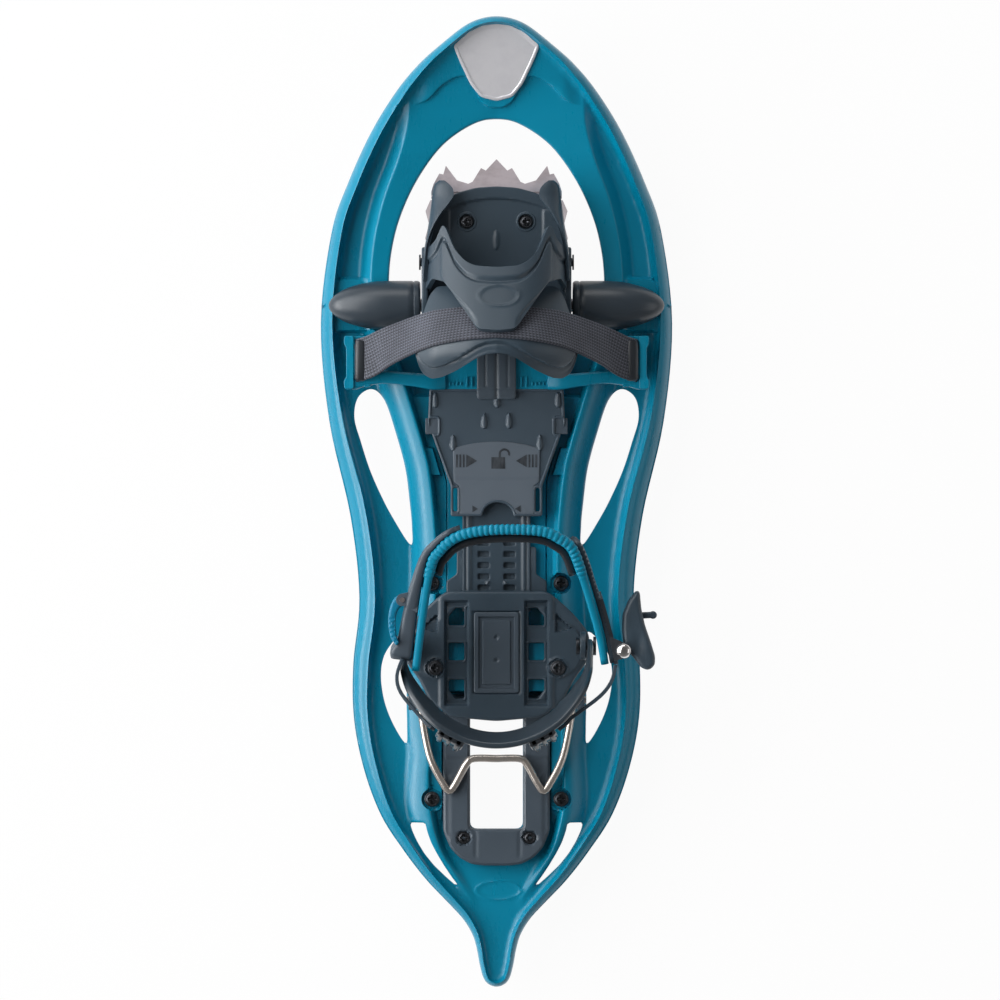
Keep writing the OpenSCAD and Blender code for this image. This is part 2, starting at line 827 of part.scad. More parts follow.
module toe_screws() {
    color(black)
        both_sides()
            translate([toe_screw.x, toe_screw.y, toe_top])
                screw(toe_plate_t + claw_t + 5);
}

module toe_nuts() {
    color(steel)
        both_sides()
            translate([toe_screw.x, toe_screw.y, claw_top - claw_t - 4])
                difference() {
                    cylinder(h = 4, r = screw_d * 1.1, $fn = 6);
                    translate([0, 0, -overlap])
                        cylinder(h = 6, d = screw_d + 0.1);
                }
}

// Toe hood: an arch over the boot's toe, open at the front and drawn out to a tongue at the back.
hood_side = 1.1;
hood_a = toe_half + hood_t / 2 + hood_side;
hood_z0 = toe_top + 0.7;
hood_foot = 3.5;
hood_slope = 0.466;
hood_y = 139;
hood_power = 2.6;
hood_steps = 28;

function arch(x) = pow(max(1 - pow(min(abs(x) / hood_a, 1), hood_power), 0), 1 / hood_power);
function vamp(x, y) = hood_z0 + (hood_h + hood_slope * (hood_y - y)) * arch(x);
function hood_x(phi) = -hood_a * sign(cos(phi)) * pow(abs(cos(phi)), 2 / hood_power);
// Front edge of the hood: a round collar, from the middle out to the ears; share of the half width, then place.
hood_collar = [[0, -2], [0.3, -1], [0.44, 2], [0.58, 9], [0.69, 21], [0.76, 28], [0.96, 29], [1, 45]];
function hood_front(x) = hood_y + lookup(abs(x) / hood_a, hood_collar);
function hood_rear(x) = lookup(abs(x) / hood_a, [[0, 100], [0.26, 101], [0.72, 129], [0.9, 131], [1, 124]]);
function hood_mid(phi, y) = let (x = hood_x(phi)) [x, y, vamp(x, y)];
function hood_normal(phi, y) =
    let (a = hood_mid(max(phi - 3, 0.5), y), b = hood_mid(min(phi + 3, 179.5), y)) unit(cross(b - a, [0, 1, 0]));

hood_rows = 6;

module toe_hood() {
    color(dark_grey)
        difference() {
            union() {
                skin([for (i = [0 : hood_steps])
                    let (phi = 180 * i / hood_steps, x = hood_x(phi), f = hood_front(x), r = hood_rear(x))
                    concat(
                        [for (k = [0 : hood_rows]) let (y = mix(f, r, k / hood_rows))
                            hood_mid(phi, y) + hood_normal(phi, y) * hood_t / 2],
                        [for (k = [hood_rows : -1 : 0]) let (y = mix(f, r, k / hood_rows))
                            hood_mid(phi, y) - hood_normal(phi, y) * hood_t / 2]
                    )]);
                both_sides()
                    translate([hood_a - hood_t / 2, hood_rear(hood_a), hood_z0 - hood_foot])
                        cube([hood_t, hood_front(hood_a) - hood_rear(hood_a), hood_foot + 1]);
            }
            both_sides()
                translate([0, hood_rivet[0], toe_top + hood_rivet[1]])
                    x_rod(toe_half - 6, toe_half + 8, hood_rivet_r + 0.1);
        }
}

module hood_rivets() {
    color(steel)
        both_sides()
            translate([0, hood_rivet[0], toe_top + hood_rivet[1]]) {
                x_rod(toe_half - 3.5, hood_a + hood_t / 2 + 1, hood_rivet_r);
                x_rod(hood_a + hood_t / 2 + 0.8, hood_a + hood_t / 2 + 1.8, hood_rivet_r + 2);
                x_rod(toe_half - 4.2, toe_half - 2.7, hood_rivet_r + 1.5);
            }
}

strap_drop = hood_t / 2 + soft_gap + strap_t / 2;
strap_y = 105;
arm_top_z = arm_z + arm_t;
strap_end = loop_half - 1;

// Middle of the strap on the right: x, y, z, tilt.
strap_half = [
    [0, strap_y, vamp(0, strap_y) - strap_drop, 25],
    [14, strap_y - 1, vamp(14, strap_y - 1) - strap_drop - 0.4, 25],
    [27, strap_y - 5, vamp(27, strap_y - 5) - strap_drop - 1.5, 20],
    [42, strap_y - 11, mix(vamp(27, strap_y - 5), arm_top_z, 0.3), 10],
    [62, strap_y - 17, mix(vamp(27, strap_y - 5), arm_top_z, 0.65), 2],
    [76, strap_y - 21, mix(vamp(27, strap_y - 5), arm_top_z, 0.87), 0],
    [strap_end, strap_y - 22, arm_top_z + soft_gap + strap_t / 2, 0]
];
strap_line = open_spline(
    concat([for (p = reversed(strap_half)) if (p[0] > 0) [-p[0], p[1], p[2], p[3]]], strap_half), 4
);

// A strip across the foot: half widths ahead of and behind its line, and its depth below that line.
module strip(p, ahead, behind, depth, thick) {
    skin([for (i = [0 : len(p) - 1])
        let (
            t = heading(p, i),
            w = unit([0, -cos(p[i][3]), sin(p[i][3])] - t * (t * [0, -cos(p[i][3]), sin(p[i][3])])),
            u = unit(cross(w, t)),
            c = xyz(p[i]) - u * depth,
            h = u * thick / 2
        )
        [c - w * ahead[i] + h, c + w * behind[i] + h, c + w * behind[i] - h, c - w * ahead[i] - h]]);
}

module toe_strap() {
    color(dark_grey)
        strip(
            strap_line,
            [for (p = strap_line) strap_w / 2],
            [for (p = strap_line) strap_w / 2],
            0,
            strap_t
        );
}

pad_line = [for (p = strap_line) if (abs(p[0]) < 56) p];
pad_span = max([for (p = pad_line) p[0]]);

module toe_pad() {
    color(dark_grey)
        strip(
            pad_line,
            [for (p = pad_line) mix(11, 6, pow(abs(p[0]) / pad_span, 2))],
            [for (p = pad_line) 22 - 9 * pow(abs(p[0]) / pad_span, 4) + 2 * sin(180 * abs(p[0]) / pad_span)],
            strap_t / 2 + soft_gap + pad_t / 2,
            pad_t
        );
}

track_half = [29, 34, 37];
track_y = [-50, 12, 30, 44];

module size_track() {
    shape = [
        [track_half[0], track_y[0]], [track_half[0], track_y[1]], [track_half[1], track_y[2]],
        [track_half[2], track_y[3]], [track_half[2], base_y[1]]
    ];
    color(teal)
        translate([0, 0, track_z])
            linear_extrude(track_t)
                polygon(concat(shape, flip_x(shape)));
}

cover_half = [[11.5, base_y[0] - 0.5], [39.5, base_y[0] - 0.5], [40, 47], [36, 37], [28, 14], [27, 10], [27, -8]];
cover_inner = [
    for (p = cover_half) [p.x - cover_wall, min(max(p.y, -8), base_y[0] - 0.5 - cover_wall)]
];
button_y = 45;
button_x = 41.8;
button_slot = 0.4;

module size_cover() {
    outer = concat(cover_half, flip_x(cover_half));
    inner = concat([for (p = cover_inner) p], [[24, -9]], flip_x(concat(cover_inner, [[24, -9]])));
    color(mid_grey)
        difference() {
            union() {
                translate([0, 0, cover_z])
                    linear_extrude(cover_t)
                        polygon(outer);
                translate([0, 0, track_top])
                    linear_extrude(cover_z - track_top + overlap)
                        difference() {
                            polygon(outer);
                            polygon(inner);
                        }
                translate([-11.5, base_y[0] - 5, cover_top - 0.2])
                    cube([23, 27, 2.8]);
            }
            both_sides()
                translate([button_x - button_travel - 9, button_y - button_l / 2 - button_slot, track_top - overlap])
                    cube([20, button_l + 2 * button_slot, 30]);
        }
}

module lock_button() {
    inner_x = tongue_w / 2 + slide_clear + button_travel + 0.6;
    translate([inner_x, button_y - button_l / 2, tongue_z - 0.2])
        cube([button_x - inner_x, button_l, tongue_t]);
    translate([button_x - 7.6, button_y - button_l / 2, tongue_z])
        cube([7.6, button_l, cover_top - tongue_z - 1]);
}

module lock_button_right() {
    color(mid_grey)
        lock_button();
}

module lock_button_left() {
    color(mid_grey)
        mirror([1, 0, 0])
            lock_button();
}

tongue_y = [-64, 30];
platform_half = [
    [tongue_w / 2 + 9, -52], [34, -55], [46, -66], [54, -76], [55, -84], [50, -94], [42, -104], [33, -116],
    [20, -125], [0, -128]
];
platform_line = concat(platform_half, [for (p = flip_x(platform_half)) if (p.x < -0.01) p]);
insert_half = 13.5;
insert_y = [-112, -64];
insert_depth = 2.4;
carriage_screw = [36, -97];
lug_x = 49;

module heel_carriage() {
    windows = [[-72, -62], [-92.5, -82.5], [-115, -104]];
    color(dark_grey)
        difference() {
            union() {
                translate([-tongue_w / 2, tongue_y[0], tongue_z])
                    cube([tongue_w, tongue_y[1] - tongue_y[0], tongue_t]);
                translate([-tongue_w / 2, tongue_y[0], tongue_z])
                    cube([tongue_w, 11, platform_z - tongue_z + overlap]);
                translate([0, 0, platform_z])
                    linear_extrude(platform_t)
                        polygon(platform_line);
                both_sides() {
                    translate([lug_x, harness_y - 8, platform_top - overlap])
                        cube([lug_t, 16, harness_rise + overlap]);
                    translate([lug_x, harness_y, harness_z])
                        rotate([0, 90, 0])
                            cylinder(h = lug_t, r = 8);
                }
            }
            for (i = [0 : 5])
                translate([-11, -50 + i * size_pitch, tongue_z - overlap])
                    cube([22, size_pitch / 2, 10]);
            translate([-insert_half, insert_y[0], platform_top - insert_depth])
                cube([2 * insert_half, insert_y[1] - insert_y[0], 10]);
            both_sides() {
                for (w = windows)
                    translate([insert_half + 5.5, w[0], platform_z - overlap])
                        cube([9, w[1] - w[0], 20]);
                translate([carriage_screw.x, carriage_screw.y, platform_top])
                    screw_hole(platform_t - 1);
                translate([0, harness_y, harness_z])
                    x_rod(lug_x - 5, lug_x + 10, rivet_d / 2 + run_clear);
            }
        }
}

module heel_insert() {
    color(mid_grey)
        translate([-insert_half + 0.2, insert_y[0] + 0.2, platform_top - insert_depth])
            cube([2 * insert_half - 0.4, insert_y[1] - insert_y[0] - 0.4, insert_depth + 0.4]);
}

module carriage_screws() {
    color(black)
        both_sides()
            translate([carriage_screw.x, carriage_screw.y, platform_top])
                screw(platform_t - 2);
}

arm_gap = 0.4;
cup_x = lug_x + lug_t + arm_gap + cup_t / 2;

// Heel cup: from the right pivot round the back to the left pivot; x, y, height over the pivot, half height, and
// how far its lower edge thickens inward under the heel.
cup_half = [
    [cup_x, harness_y, 0, 6, 0], [cup_x, harness_y - 6, 11, 7, 0], [cup_x - 1.8, -103, 28, 9, 1],
    [cup_x - 8, -116, 40, 11, 3], [35, -129, 46, 12.5, 5], [18, -138, 47.5, 12.5, 6], [0, -141, 48, 12.5, 6]
];
cup_route = concat(
    [for (p = cup_half) if (p[0] > 0.01) [-p[0], p[1], p[2] + harness_z, p[3], cup_t / 2, p[4]]],
    [for (p = reversed(cup_half)) [p[0], p[1], p[2] + harness_z, p[3], cup_t / 2, p[4]]]
);
cup_path = open_spline(cup_route, 4);

module heel_cup() {
    color(dark_grey)
        difference() {
            union() {
                ribbon(cup_path);
                both_sides()
                    translate([0, harness_y, harness_z])
                        x_rod(cup_x - cup_t / 2, cup_x + cup_t / 2, 8.5);
            }
            both_sides()
                translate([0, harness_y, harness_z])
                    x_rod(cup_x - 6, cup_x + 6, rivet_d / 2 + run_clear);
        }
}

module harness_rivets() {
    color(steel)
        both_sides()
            translate([0, harness_y, harness_z]) {
                x_rod(lug_x - 2, cup_x + cup_t / 2 + 1.5, rivet_d / 2);
                x_rod(cup_x + cup_t / 2 + 0.3, cup_x + cup_t / 2 + 2, rivet_d / 2 + 2.5);
                x_rod(lug_x - 2.3, lug_x - 0.3, rivet_d / 2 + 2);
            }
}

slider_x = 27.5;
slider_size = [16, 4, 27];

module strap_slider() {
    translate([slider_x, -138.2, harness_z + 46.5])
        rotate([0, 0, 30])
            difference() {
                translate(-slider_size / 2)
                    cube(slider_size);
                for (s = [-1, 1])
                    translate([s * 3.6 - 1.5, -5, -10])
                        cube([3, 10, 20]);
            }
}

module strap_sliders() {
    color(black)
        both_sides()
            strap_slider();
}

// Ankle pad: from the right rear round the front to the left rear; x, y, height over the pivot, half height.
ankle_points = [
    [63, -93, 36, 9], [60, -77, 40, 10], [52, -49, 48, 12], [44.5, -28, 54, 13], [36, -20.5, 57, 13],
    [26, -16.5, 58.5, 13], [8, -15.5, 59, 13], [-10, -16.5, 58.5, 13], [-23, -20, 57, 13], [-32, -27, 54, 13],
    [-38, -37, 51, 12], [-43, -66, 42, 10], [-47, -97, 35, 9]
];
ankle_path = open_spline([for (p = ankle_points) [p[0], p[1], p[2] + harness_z, p[3], ankle_t / 2]], 4);
thin_out = ankle_t / 2 + soft_gap + thin_t / 2;

module ankle_pad() {
    color(bright_teal)
        ribbon(ankle_path);
}

module ankle_liner() {
    front = [for (p = ankle_path) if (p[1] > -40) p];
    color(black)
        ribbon(beside(front, -thin_out, -9, 9, thin_t / 2));
}

ladder_path = [for (p = ankle_path) if (p[0] > 40) p];
ladder_half_h = 7;

module ladder_strap() {
    color(dark_grey)
        ribbon(beside(ladder_path, thin_out, 0, ladder_half_h, thin_t / 2));
}

shell_points = [for (p = ankle_path) if (p[0] < -20 && p[1] > -91) p];
function shell_t(y) = lookup(y, [[-97, 9], [-92, 10], [-80, 7.5], [-60, 6], [-20, 2]]);
shell_base = ankle_t / 2 + 1.3 * soft_gap;
adjuster_pin_at = [-54.8, -56.5];
adjuster_z = harness_z + 45 - adjuster_h / 2;
ear_gap = 0.4;

module adjuster_ears() {
    for (z = [adjuster_z - ear_gap - base_t, adjuster_z + adjuster_h + ear_gap])
        translate([0, 0, z])
            linear_extrude(base_t) {
                translate(adjuster_pin_at)
                    circle(r = 3.4);
                polygon([[-45, -51], [-54.8, -53.1], [-54.8, -59.9], [-46, -64]]);
            }
}

module ankle_shell() {
    path = [for (i = [0 : len(shell_points) - 1])
        let (
            p = shell_points[i],
            half = shell_t(p[1]) / 2,
            c = xyz(p) + outward(heading(shell_points, i)) * (shell_base + half)
        )
        [c.x, c.y, c.z, p[3] - 1, half]];
    color(dark_grey)
        difference() {
            union() {
                ribbon(path);
                adjuster_ears();
            }
            translate([adjuster_pin_at.x, adjuster_pin_at.y, adjuster_z - 20])
                cylinder(h = 60, d = small_pin_d + 2 * run_clear);
        }
}

module adjuster_lever() {
    outer = [[-54.8, -53.4], [-58.5, -58], [-60.5, -67], [-60, -75], [-58.6, -81]];
    inner = [[-56.6, -80.4], [-57.4, -74], [-57.6, -67], [-56, -60.5], [-54.8, -59.6]];
    color(bright_teal)
        translate([0, 0, adjuster_z])
            linear_extrude(adjuster_h)
                difference() {
                    union() {
                        polygon(concat(open_spline(outer, 4), open_spline(inner, 4)));
                        translate(adjuster_pin_at)
                            circle(r = 3.1);
                    }
                    translate(adjuster_pin_at)
                        circle(d = small_pin_d + 2 * run_clear);
                }
}

module adjuster_pin() {
    color(steel)
        translate([adjuster_pin_at.x, adjuster_pin_at.y, adjuster_z - ear_gap - base_t - 0.5])
            cylinder(h = adjuster_h + 2 * (ear_gap + base_t) + 1, d = small_pin_d);
}

ratchet_at = [74, -86];
lever_z = harness_z + 37 - lever_h / 2;
barrel_lever_r = 4.2;
ratchet_path = [for (p = ankle_path) if (p[0] > 40 && p[1] < -55) p];
ratchet_out = ankle_t / 2 + 2 * soft_gap + thin_t + base_t / 2;
ratchet_ear_z = [lever_z - ear_gap - base_t, lever_z + lever_h + ear_gap];

module ratchet_base() {
    color(black)
        difference() {
            union() {
                ribbon(beside(ratchet_path, ratchet_out, 0, 8.5, base_t / 2));
                for (z = ratchet_ear_z)
                    translate([0, 0, z])
                        linear_extrude(base_t) {
                            translate(ratchet_at)
                                circle(r = 4.6);
                            polygon([[65.7, -78], [74, -81.4], [74, -90.6], [68.6, -92]]);
                        }
                translate([0, 0, ratchet_ear_z[0]])
                    linear_extrude(ratchet_ear_z[1] - ratchet_ear_z[0] + base_t)
                        polygon([[65.6, -78], [67.7, -78], [69.4, -86], [70.6, -92], [68.5, -92], [67.3, -86]]);
            }
            translate([ratchet_at.x, ratchet_at.y, lever_z - 20])
                cylinder(h = 80, d = ratchet_pin_d + 2 * run_clear);
        }
}

module ratchet_pin() {
    z0 = ratchet_ear_z[0] - 1;
    z1 = ratchet_ear_z[1] + base_t;
    color(steel)
        translate([ratchet_at.x, ratchet_at.y, z0]) {
            cylinder(h = z1 - z0 + 0.5, d = ratchet_pin_d);
            translate([0, 0, z1 - z0 + 0.2])
                cylinder(h = 1.6, d = ratchet_pin_d + 2);
        }
}

tab_at = [79.6, -66];
tab_h = 6;
tab_z = lever_z + (lever_h - tab_h) / 2;

lever_arm = [
    [74, -81.8], [73.4, -74], [74, -63], [77, -55], [79.6, -50.5], [81.4, -51], [82.5, -60], [83.5, -70],
    [86, -79], [88.4, -87], [88, -91.5], [85, -94], [81, -93], [77.5, -88.3], [74, -90.2]
];

module ratchet_lever() {
    color(black)
        difference() {
            union() {
                translate([0, 0, lever_z])
                    linear_extrude(lever_h)
                        polygon(lever_arm);
                translate([ratchet_at.x, ratchet_at.y, lever_z])
                    cylinder(h = lever_h, r = barrel_lever_r);
            }
            translate([ratchet_at.x, ratchet_at.y, lever_z - overlap])
                cylinder(h = lever_h + 2 * overlap, d = ratchet_pin_d + 2 * run_clear);
            translate([tab_at.x - 4, tab_at.y - 5, tab_z - ear_gap])
                cube([20, 10.5, tab_h + 2 * ear_gap]);
            translate([tab_at.x, tab_at.y, lever_z - overlap])
                cylinder(h = lever_h + 2 * overlap, d = small_pin_d - 1 + 2 * run_clear);
        }
}

module release_tab() {
    color(black)
        translate([0, 0, tab_z])
            linear_extrude(tab_h)
                difference() {
                    union() {
                        translate(tab_at)
                            circle(r = 2.6);
                        translate(tab_at + [0, -1.6])
                            square([7.5, 4]);
                        translate(tab_at + [7.5, 0.4])
                            circle(r = 2);
                    }
                    translate(tab_at)
                        circle(d = small_pin_d - 1 + 2 * run_clear);
                }
}

module tab_pin() {
    color(steel)
        translate([tab_at.x, tab_at.y, lever_z + 0.2])
            cylinder(h = lever_h - 0.4, d = small_pin_d - 1);
}

thin_half_h = 6;

// Part of each heel strap that lies on the outside of the heel cup, and the free part that leads to the ankle.
cup_lap = beside(cup_path, cup_t / 2 + 1.4 * soft_gap + thin_t / 2, -1.5, thin_half_h, thin_t / 2);
lap_x = [36, 46];

function on_lap(p) = abs(p[0]) > lap_x[0] && abs(p[0]) < lap_x[1] && p[1] < -115;
function free_strap(points) = [for (p = points) [p[0], p[1], p[2] + harness_z, thin_half_h, thin_t / 2]];

module heel_strap_right() {
    lap = [for (p = cup_lap) if (p[0] > 0 && on_lap(p)) p];
    color(dark_grey)
        ribbon(open_spline(concat(lap, free_strap([[60, -113, 39], [67, -104, 37], [69.3, -95, 36]])), 4));
}

module heel_strap_left() {
    lap = [for (p = cup_lap) if (p[0] < 0 && on_lap(p)) p];
    color(dark_grey)
        ribbon(open_spline(concat(free_strap([[-55, -91, 39.5], [-58, -101, 40], [-55.5, -111, 40.5]]), lap), 4));
}

deck_frame();
toe_badge();
pivot_cap_left();
pivot_cap_right();
pivot_axle();
axle_bushes();
axle_rings();
cap_screws();
heel_rest();
heel_rest_screws();
deck_spikes();
spike_screws();
lifter_clip_left();
lifter_clip_right();
heel_lifter();
binding_base();
hinge_bushes();
toe_plate();
toe_claw();
toe_screws();
toe_nuts();
toe_hood();
hood_rivets();
toe_pad();
toe_strap();
size_track();
size_cover();
lock_button_left();
lock_button_right();
heel_carriage();
heel_insert();
carriage_screws();
heel_cup();
harness_rivets();
strap_sliders();
heel_strap_left();
heel_strap_right();
ankle_pad();
ankle_liner();
ankle_shell();
ladder_strap();
ratchet_base();
ratchet_pin();
ratchet_lever();
release_tab();
tab_pin();
adjuster_lever();
adjuster_pin();
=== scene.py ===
"""Looks of a moulded snowshoe with a hinged binding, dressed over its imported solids."""
import logging
import math
from dataclasses import dataclass, field
from enum import Enum
from typing import Any, Callable, ClassVar, Sequence

import bpy
import numpy as np
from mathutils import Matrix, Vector
from mathutils.geometry import delaunay_2d_cdt
from mathutils.kdtree import KDTree


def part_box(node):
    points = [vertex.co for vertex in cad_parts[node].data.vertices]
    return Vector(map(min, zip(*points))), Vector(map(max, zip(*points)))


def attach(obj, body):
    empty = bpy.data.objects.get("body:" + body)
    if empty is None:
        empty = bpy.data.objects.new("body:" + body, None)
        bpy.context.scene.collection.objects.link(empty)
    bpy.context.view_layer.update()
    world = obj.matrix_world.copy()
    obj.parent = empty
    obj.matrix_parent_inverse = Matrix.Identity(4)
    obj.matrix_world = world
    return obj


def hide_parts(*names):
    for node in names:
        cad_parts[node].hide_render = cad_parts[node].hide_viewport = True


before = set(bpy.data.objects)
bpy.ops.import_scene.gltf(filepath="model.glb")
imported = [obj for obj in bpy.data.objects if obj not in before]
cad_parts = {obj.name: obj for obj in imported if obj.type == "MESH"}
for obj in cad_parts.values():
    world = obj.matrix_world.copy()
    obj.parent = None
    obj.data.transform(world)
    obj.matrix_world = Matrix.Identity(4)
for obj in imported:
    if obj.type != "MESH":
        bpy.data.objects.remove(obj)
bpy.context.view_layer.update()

LOG = logging.getLogger("snowshoe")
Array = np.ndarray
Height = Callable[[Array, Array, Array], Array]
Points = Sequence[Sequence[float]]
Mesh = tuple[Array, list]
MM = 0.001
TINY = 1e-9
CRISP = 38
SOLID_CRISP = 34
SIDES = (-1, 1)
MIRROR = np.array([-1.0, 1.0])
CROSS_AXES = ((1, 2), (2, 0), (0, 1))


# ---------------------------------------------------------------- curves and fields

def spline(points: Points, steps: int = 8, closed: bool = False) -> Array:
    """Smooth curve through given points.

    Args:
        points: control points, in two or three dimensions.
        steps: points made for each span.
        closed: whether the curve comes back to its start.

    Returns:
        The points along the curve.
    """
    p = np.asarray(points, float)
    n = len(p)
    t = (np.arange(steps) / steps)[:, None]
    spans = []
    for i in range(n if closed else n - 1):
        if closed:
            a, b, c, d = p[i - 1], p[i], p[(i + 1) % n], p[(i + 2) % n]
        else:
            a, b, c, d = p[max(i - 1, 0)], p[i], p[i + 1], p[min(i + 2, n - 1)]
        spans.append(0.5 * (2 * b + (c - a) * t + (2 * a - 5 * b + 4 * c - d) * t ** 2
                            + (3 * b - a - 3 * c + d) * t ** 3))
    if not closed:
        spans.append(p[-1:])
    return np.concatenate(spans)


def mirrored(half: Points) -> Array:
    """Closed loop from its right half, which runs from the toe side to the heel side.

    Args:
        half: points of the right half.

    Returns:
        The whole loop, with points on the middle line kept once.
    """
    right = np.asarray(half, float)
    left = right[::-1] * MIRROR
    return np.concatenate([right, left[np.abs(left[:, 0]) > TINY]])


def both_sides(*lines: Array) -> list[Array]:
    """Each line and its mirror image across the middle."""
    return [side for line in lines for side in (line, line * MIRROR)]


def rectangle(x0: float, y0: float, x1: float, y1: float) -> Array:
    """Corners of a rectangle, in order from (x0, y0)."""
    return np.array([(x0, y0), (x1, y0), (x1, y1), (x0, y1)], float)


def whole_turn(count: int) -> Array:
    """Even angles round a circle, in radians."""
    return np.linspace(0, 2 * math.pi, count, endpoint=False)


def arc(centre: Sequence[float], radius: float | Sequence[float], turn: Array) -> Array:
    """Points on a circle or an oval, from its middle, its radius or radii, and the angle of each point."""
    return np.asarray(centre, float) + np.stack([np.cos(turn), np.sin(turn)], 1) * radius


def run_along(path: Array) -> Array:
    """Distance along a line at each of its points."""
    return np.concatenate([[0], np.cumsum(np.linalg.norm(np.diff(path, axis=0), axis=1))])


def directions(path: Array) -> Array:
    """Unit direction of a line at each of its points."""
    along = np.gradient(path, axis=0)
    return along / np.linalg.norm(along, axis=1)[:, None]


def left_of(along: Array) -> Array:
    """Unit vectors to the left of directions in plan."""
    across = np.stack([-along[:, 1], along[:, 0]], 1)
    return across / np.maximum(np.linalg.norm(across, axis=1), TINY)[:, None]


def loop_normals(loop: Array) -> Array:
    """Unit normal at each point of a closed loop."""
    return left_of(np.roll(loop, -1, axis=0) - np.roll(loop, 1, axis=0))


def smoothed(values: Array, weights: Sequence[float]) -> Array:
    """Values averaged over their neighbours, with the two ends held."""
    share = np.asarray(weights, float) / np.sum(weights)
    return np.convolve(np.pad(values, len(share) // 2, mode="edge"), share, "valid")


def evenly(points: Array, gap: float, closed: bool = True) -> Array:
    """Points at an even distance along a line.

    Args:
        points: the line.
        gap: the distance wanted.
        closed: whether the line is a loop.

    Returns:
        The new points, with the first kept.
    """
    p = np.concatenate([points, points[:1]]) if closed else np.asarray(points, float)
    run = run_along(p)
    at = np.linspace(0, run[-1], max(3, round(run[-1] / gap)) + 1)
    out = np.stack([np.interp(at, run, p[:, k]) for k in range(p.shape[1])], 1)
    return out[:-1] if closed else out


def rounded_loop(corners: Points, radius: float, steps: int = 5) -> Array:
    """Polygon with each corner rounded.

    Args:
        corners: corners of the polygon in order.
        radius: rounding radius, cut down where a side is short.
        steps: points made on each corner, less one.

    Returns:
        The rounded loop.
    """
    p = np.asarray(corners, float)
    most = 0.45
    t = (np.arange(steps + 1) / steps)[:, None]
    out = []
    for a, b, c in zip(np.roll(p, 1, axis=0), p, np.roll(p, -1, axis=0)):
        before, after = np.linalg.norm(a - b), np.linalg.norm(c - b)
        reach = min(radius, most * before, most * after)
        start, end = b + (a - b) / before * reach, b + (c - b) / after * reach
        out.append((1 - t) ** 2 * start + 2 * t * (1 - t) * b + t ** 2 * end)
    return np.concatenate(out)


def look_up(at: Array | float, rows: Points) -> Array:
    """Value read from rows of (place, value), with straight lines between them."""
    r = np.asarray(sorted(map(tuple, rows)), float)
    return np.interp(at, r[:, 0], r[:, 1])


def step_between(at: Array, low: float, high: float) -> Array:
    """Smooth rise from 0 at low to 1 at high."""
    t = np.clip((at - low) / (high - low), 0, 1)
    return t * t * (3 - 2 * t)


def bell(at: Array, middle: Array | float, width: float) -> Array:
    """Soft ridge that is 1 at its middle."""
    return np.exp(-((at - middle) / width) ** 2)


def least(*values: Array) -> Array:
    """The smallest of several values, point by point."""
    return np.min(np.broadcast_arrays(*values), axis=0)


def line_distance(q: Array, loop: Array) -> Array:
    """Distance from each point to a closed loop.

    Args:
        q: points, two columns.
        loop: points of the loop.

    Returns:
        One distance for each point.
    """
    batch = 2000
    ab = np.roll(loop, -1, axis=0) - loop
    size = np.maximum((ab ** 2).sum(1), 1e-12)
    out = np.empty(len(q))
    for i in range(0, len(q), batch):
        ap = q[i:i + batch, None, :] - loop[None]
        t = np.clip((ap * ab[None]).sum(2) / size, 0, 1)
        out[i:i + batch] = np.sqrt(((ap - t[..., None] * ab[None]) ** 2).sum(2).min(1))
    return out


def within(q: Array, loop: Array) -> Array:
    """Which points lie inside a loop.

    Args:
        q: points, two columns.
        loop: points of the loop.

    Returns:
        A flag for each point.
    """
    x, y = q[:, 0], q[:, 1]
    hit = np.zeros(len(q), bool)
    for (xa, ya), (xb, yb) in zip(loop, np.roll(loop, -1, axis=0)):
        if ya != yb:
            hit ^= ((ya > y) != (yb > y)) & (x < (xb - xa) * (y - ya) / (yb - ya) + xa)
    return hit


def edge_drop(depth: Array, radius: float) -> Array:
    """How far a rounded edge has fallen at a depth in from it."""
    t = np.clip(radius - depth, 0, radius)
    return radius - np.sqrt(np.maximum(radius ** 2 - t ** 2, 0))


def eased(z: float, radius: float = 0.0, under: bool = False) -> Height:
    """Level face with a rounded edge.

    Args:
        z: height of the face.
        radius: rounding of its edge, or 0 for a crisp one.
        under: whether it is an under face, whose edge turns up.

    Returns:
        The height function.
    """
    def face(x: Array, y: Array, depth: Array) -> Array:
        """Height less the fall of the edge."""
        drop = edge_drop(depth, radius)
        return z + drop if under else z - drop
    return face


# ---------------------------------------------------------------- meshes

def mesh_object(name: str, verts: Array, faces: Sequence[Sequence[int]], sharp: float = CRISP) -> bpy.types.Object:
    """Object from millimetre vertices.

    Args:
        name: the piece's name.
        verts: vertices in millimetres, in the shared frame.
        faces: vertex numbers of each face.
        sharp: edges that turn by more degrees than this stay crisp.

    Returns:
        The linked object.
    """
    mesh = bpy.data.meshes.new(name)
    mesh.from_pydata((np.asarray(verts, float) * MM).tolist(), [], [list(map(int, f)) for f in faces])
    mesh.validate()
    mesh.shade_smooth()
    mesh.set_sharp_from_angle(angle=math.radians(sharp))
    obj = bpy.data.objects.new(name, mesh)
    bpy.context.scene.collection.objects.link(obj)
    return obj


def join_meshes(parts: Sequence[Mesh]) -> Mesh:
    """One list of vertices and faces from several.

    Args:
        parts: vertices and faces of each.

    Returns:
        All vertices and all faces.
    """
    verts, faces, base = [], [], 0
    for v, f in parts:
        verts.append(v)
        faces += [[k + base for k in face] for face in f]
        base += len(v)
    return np.concatenate(verts), faces


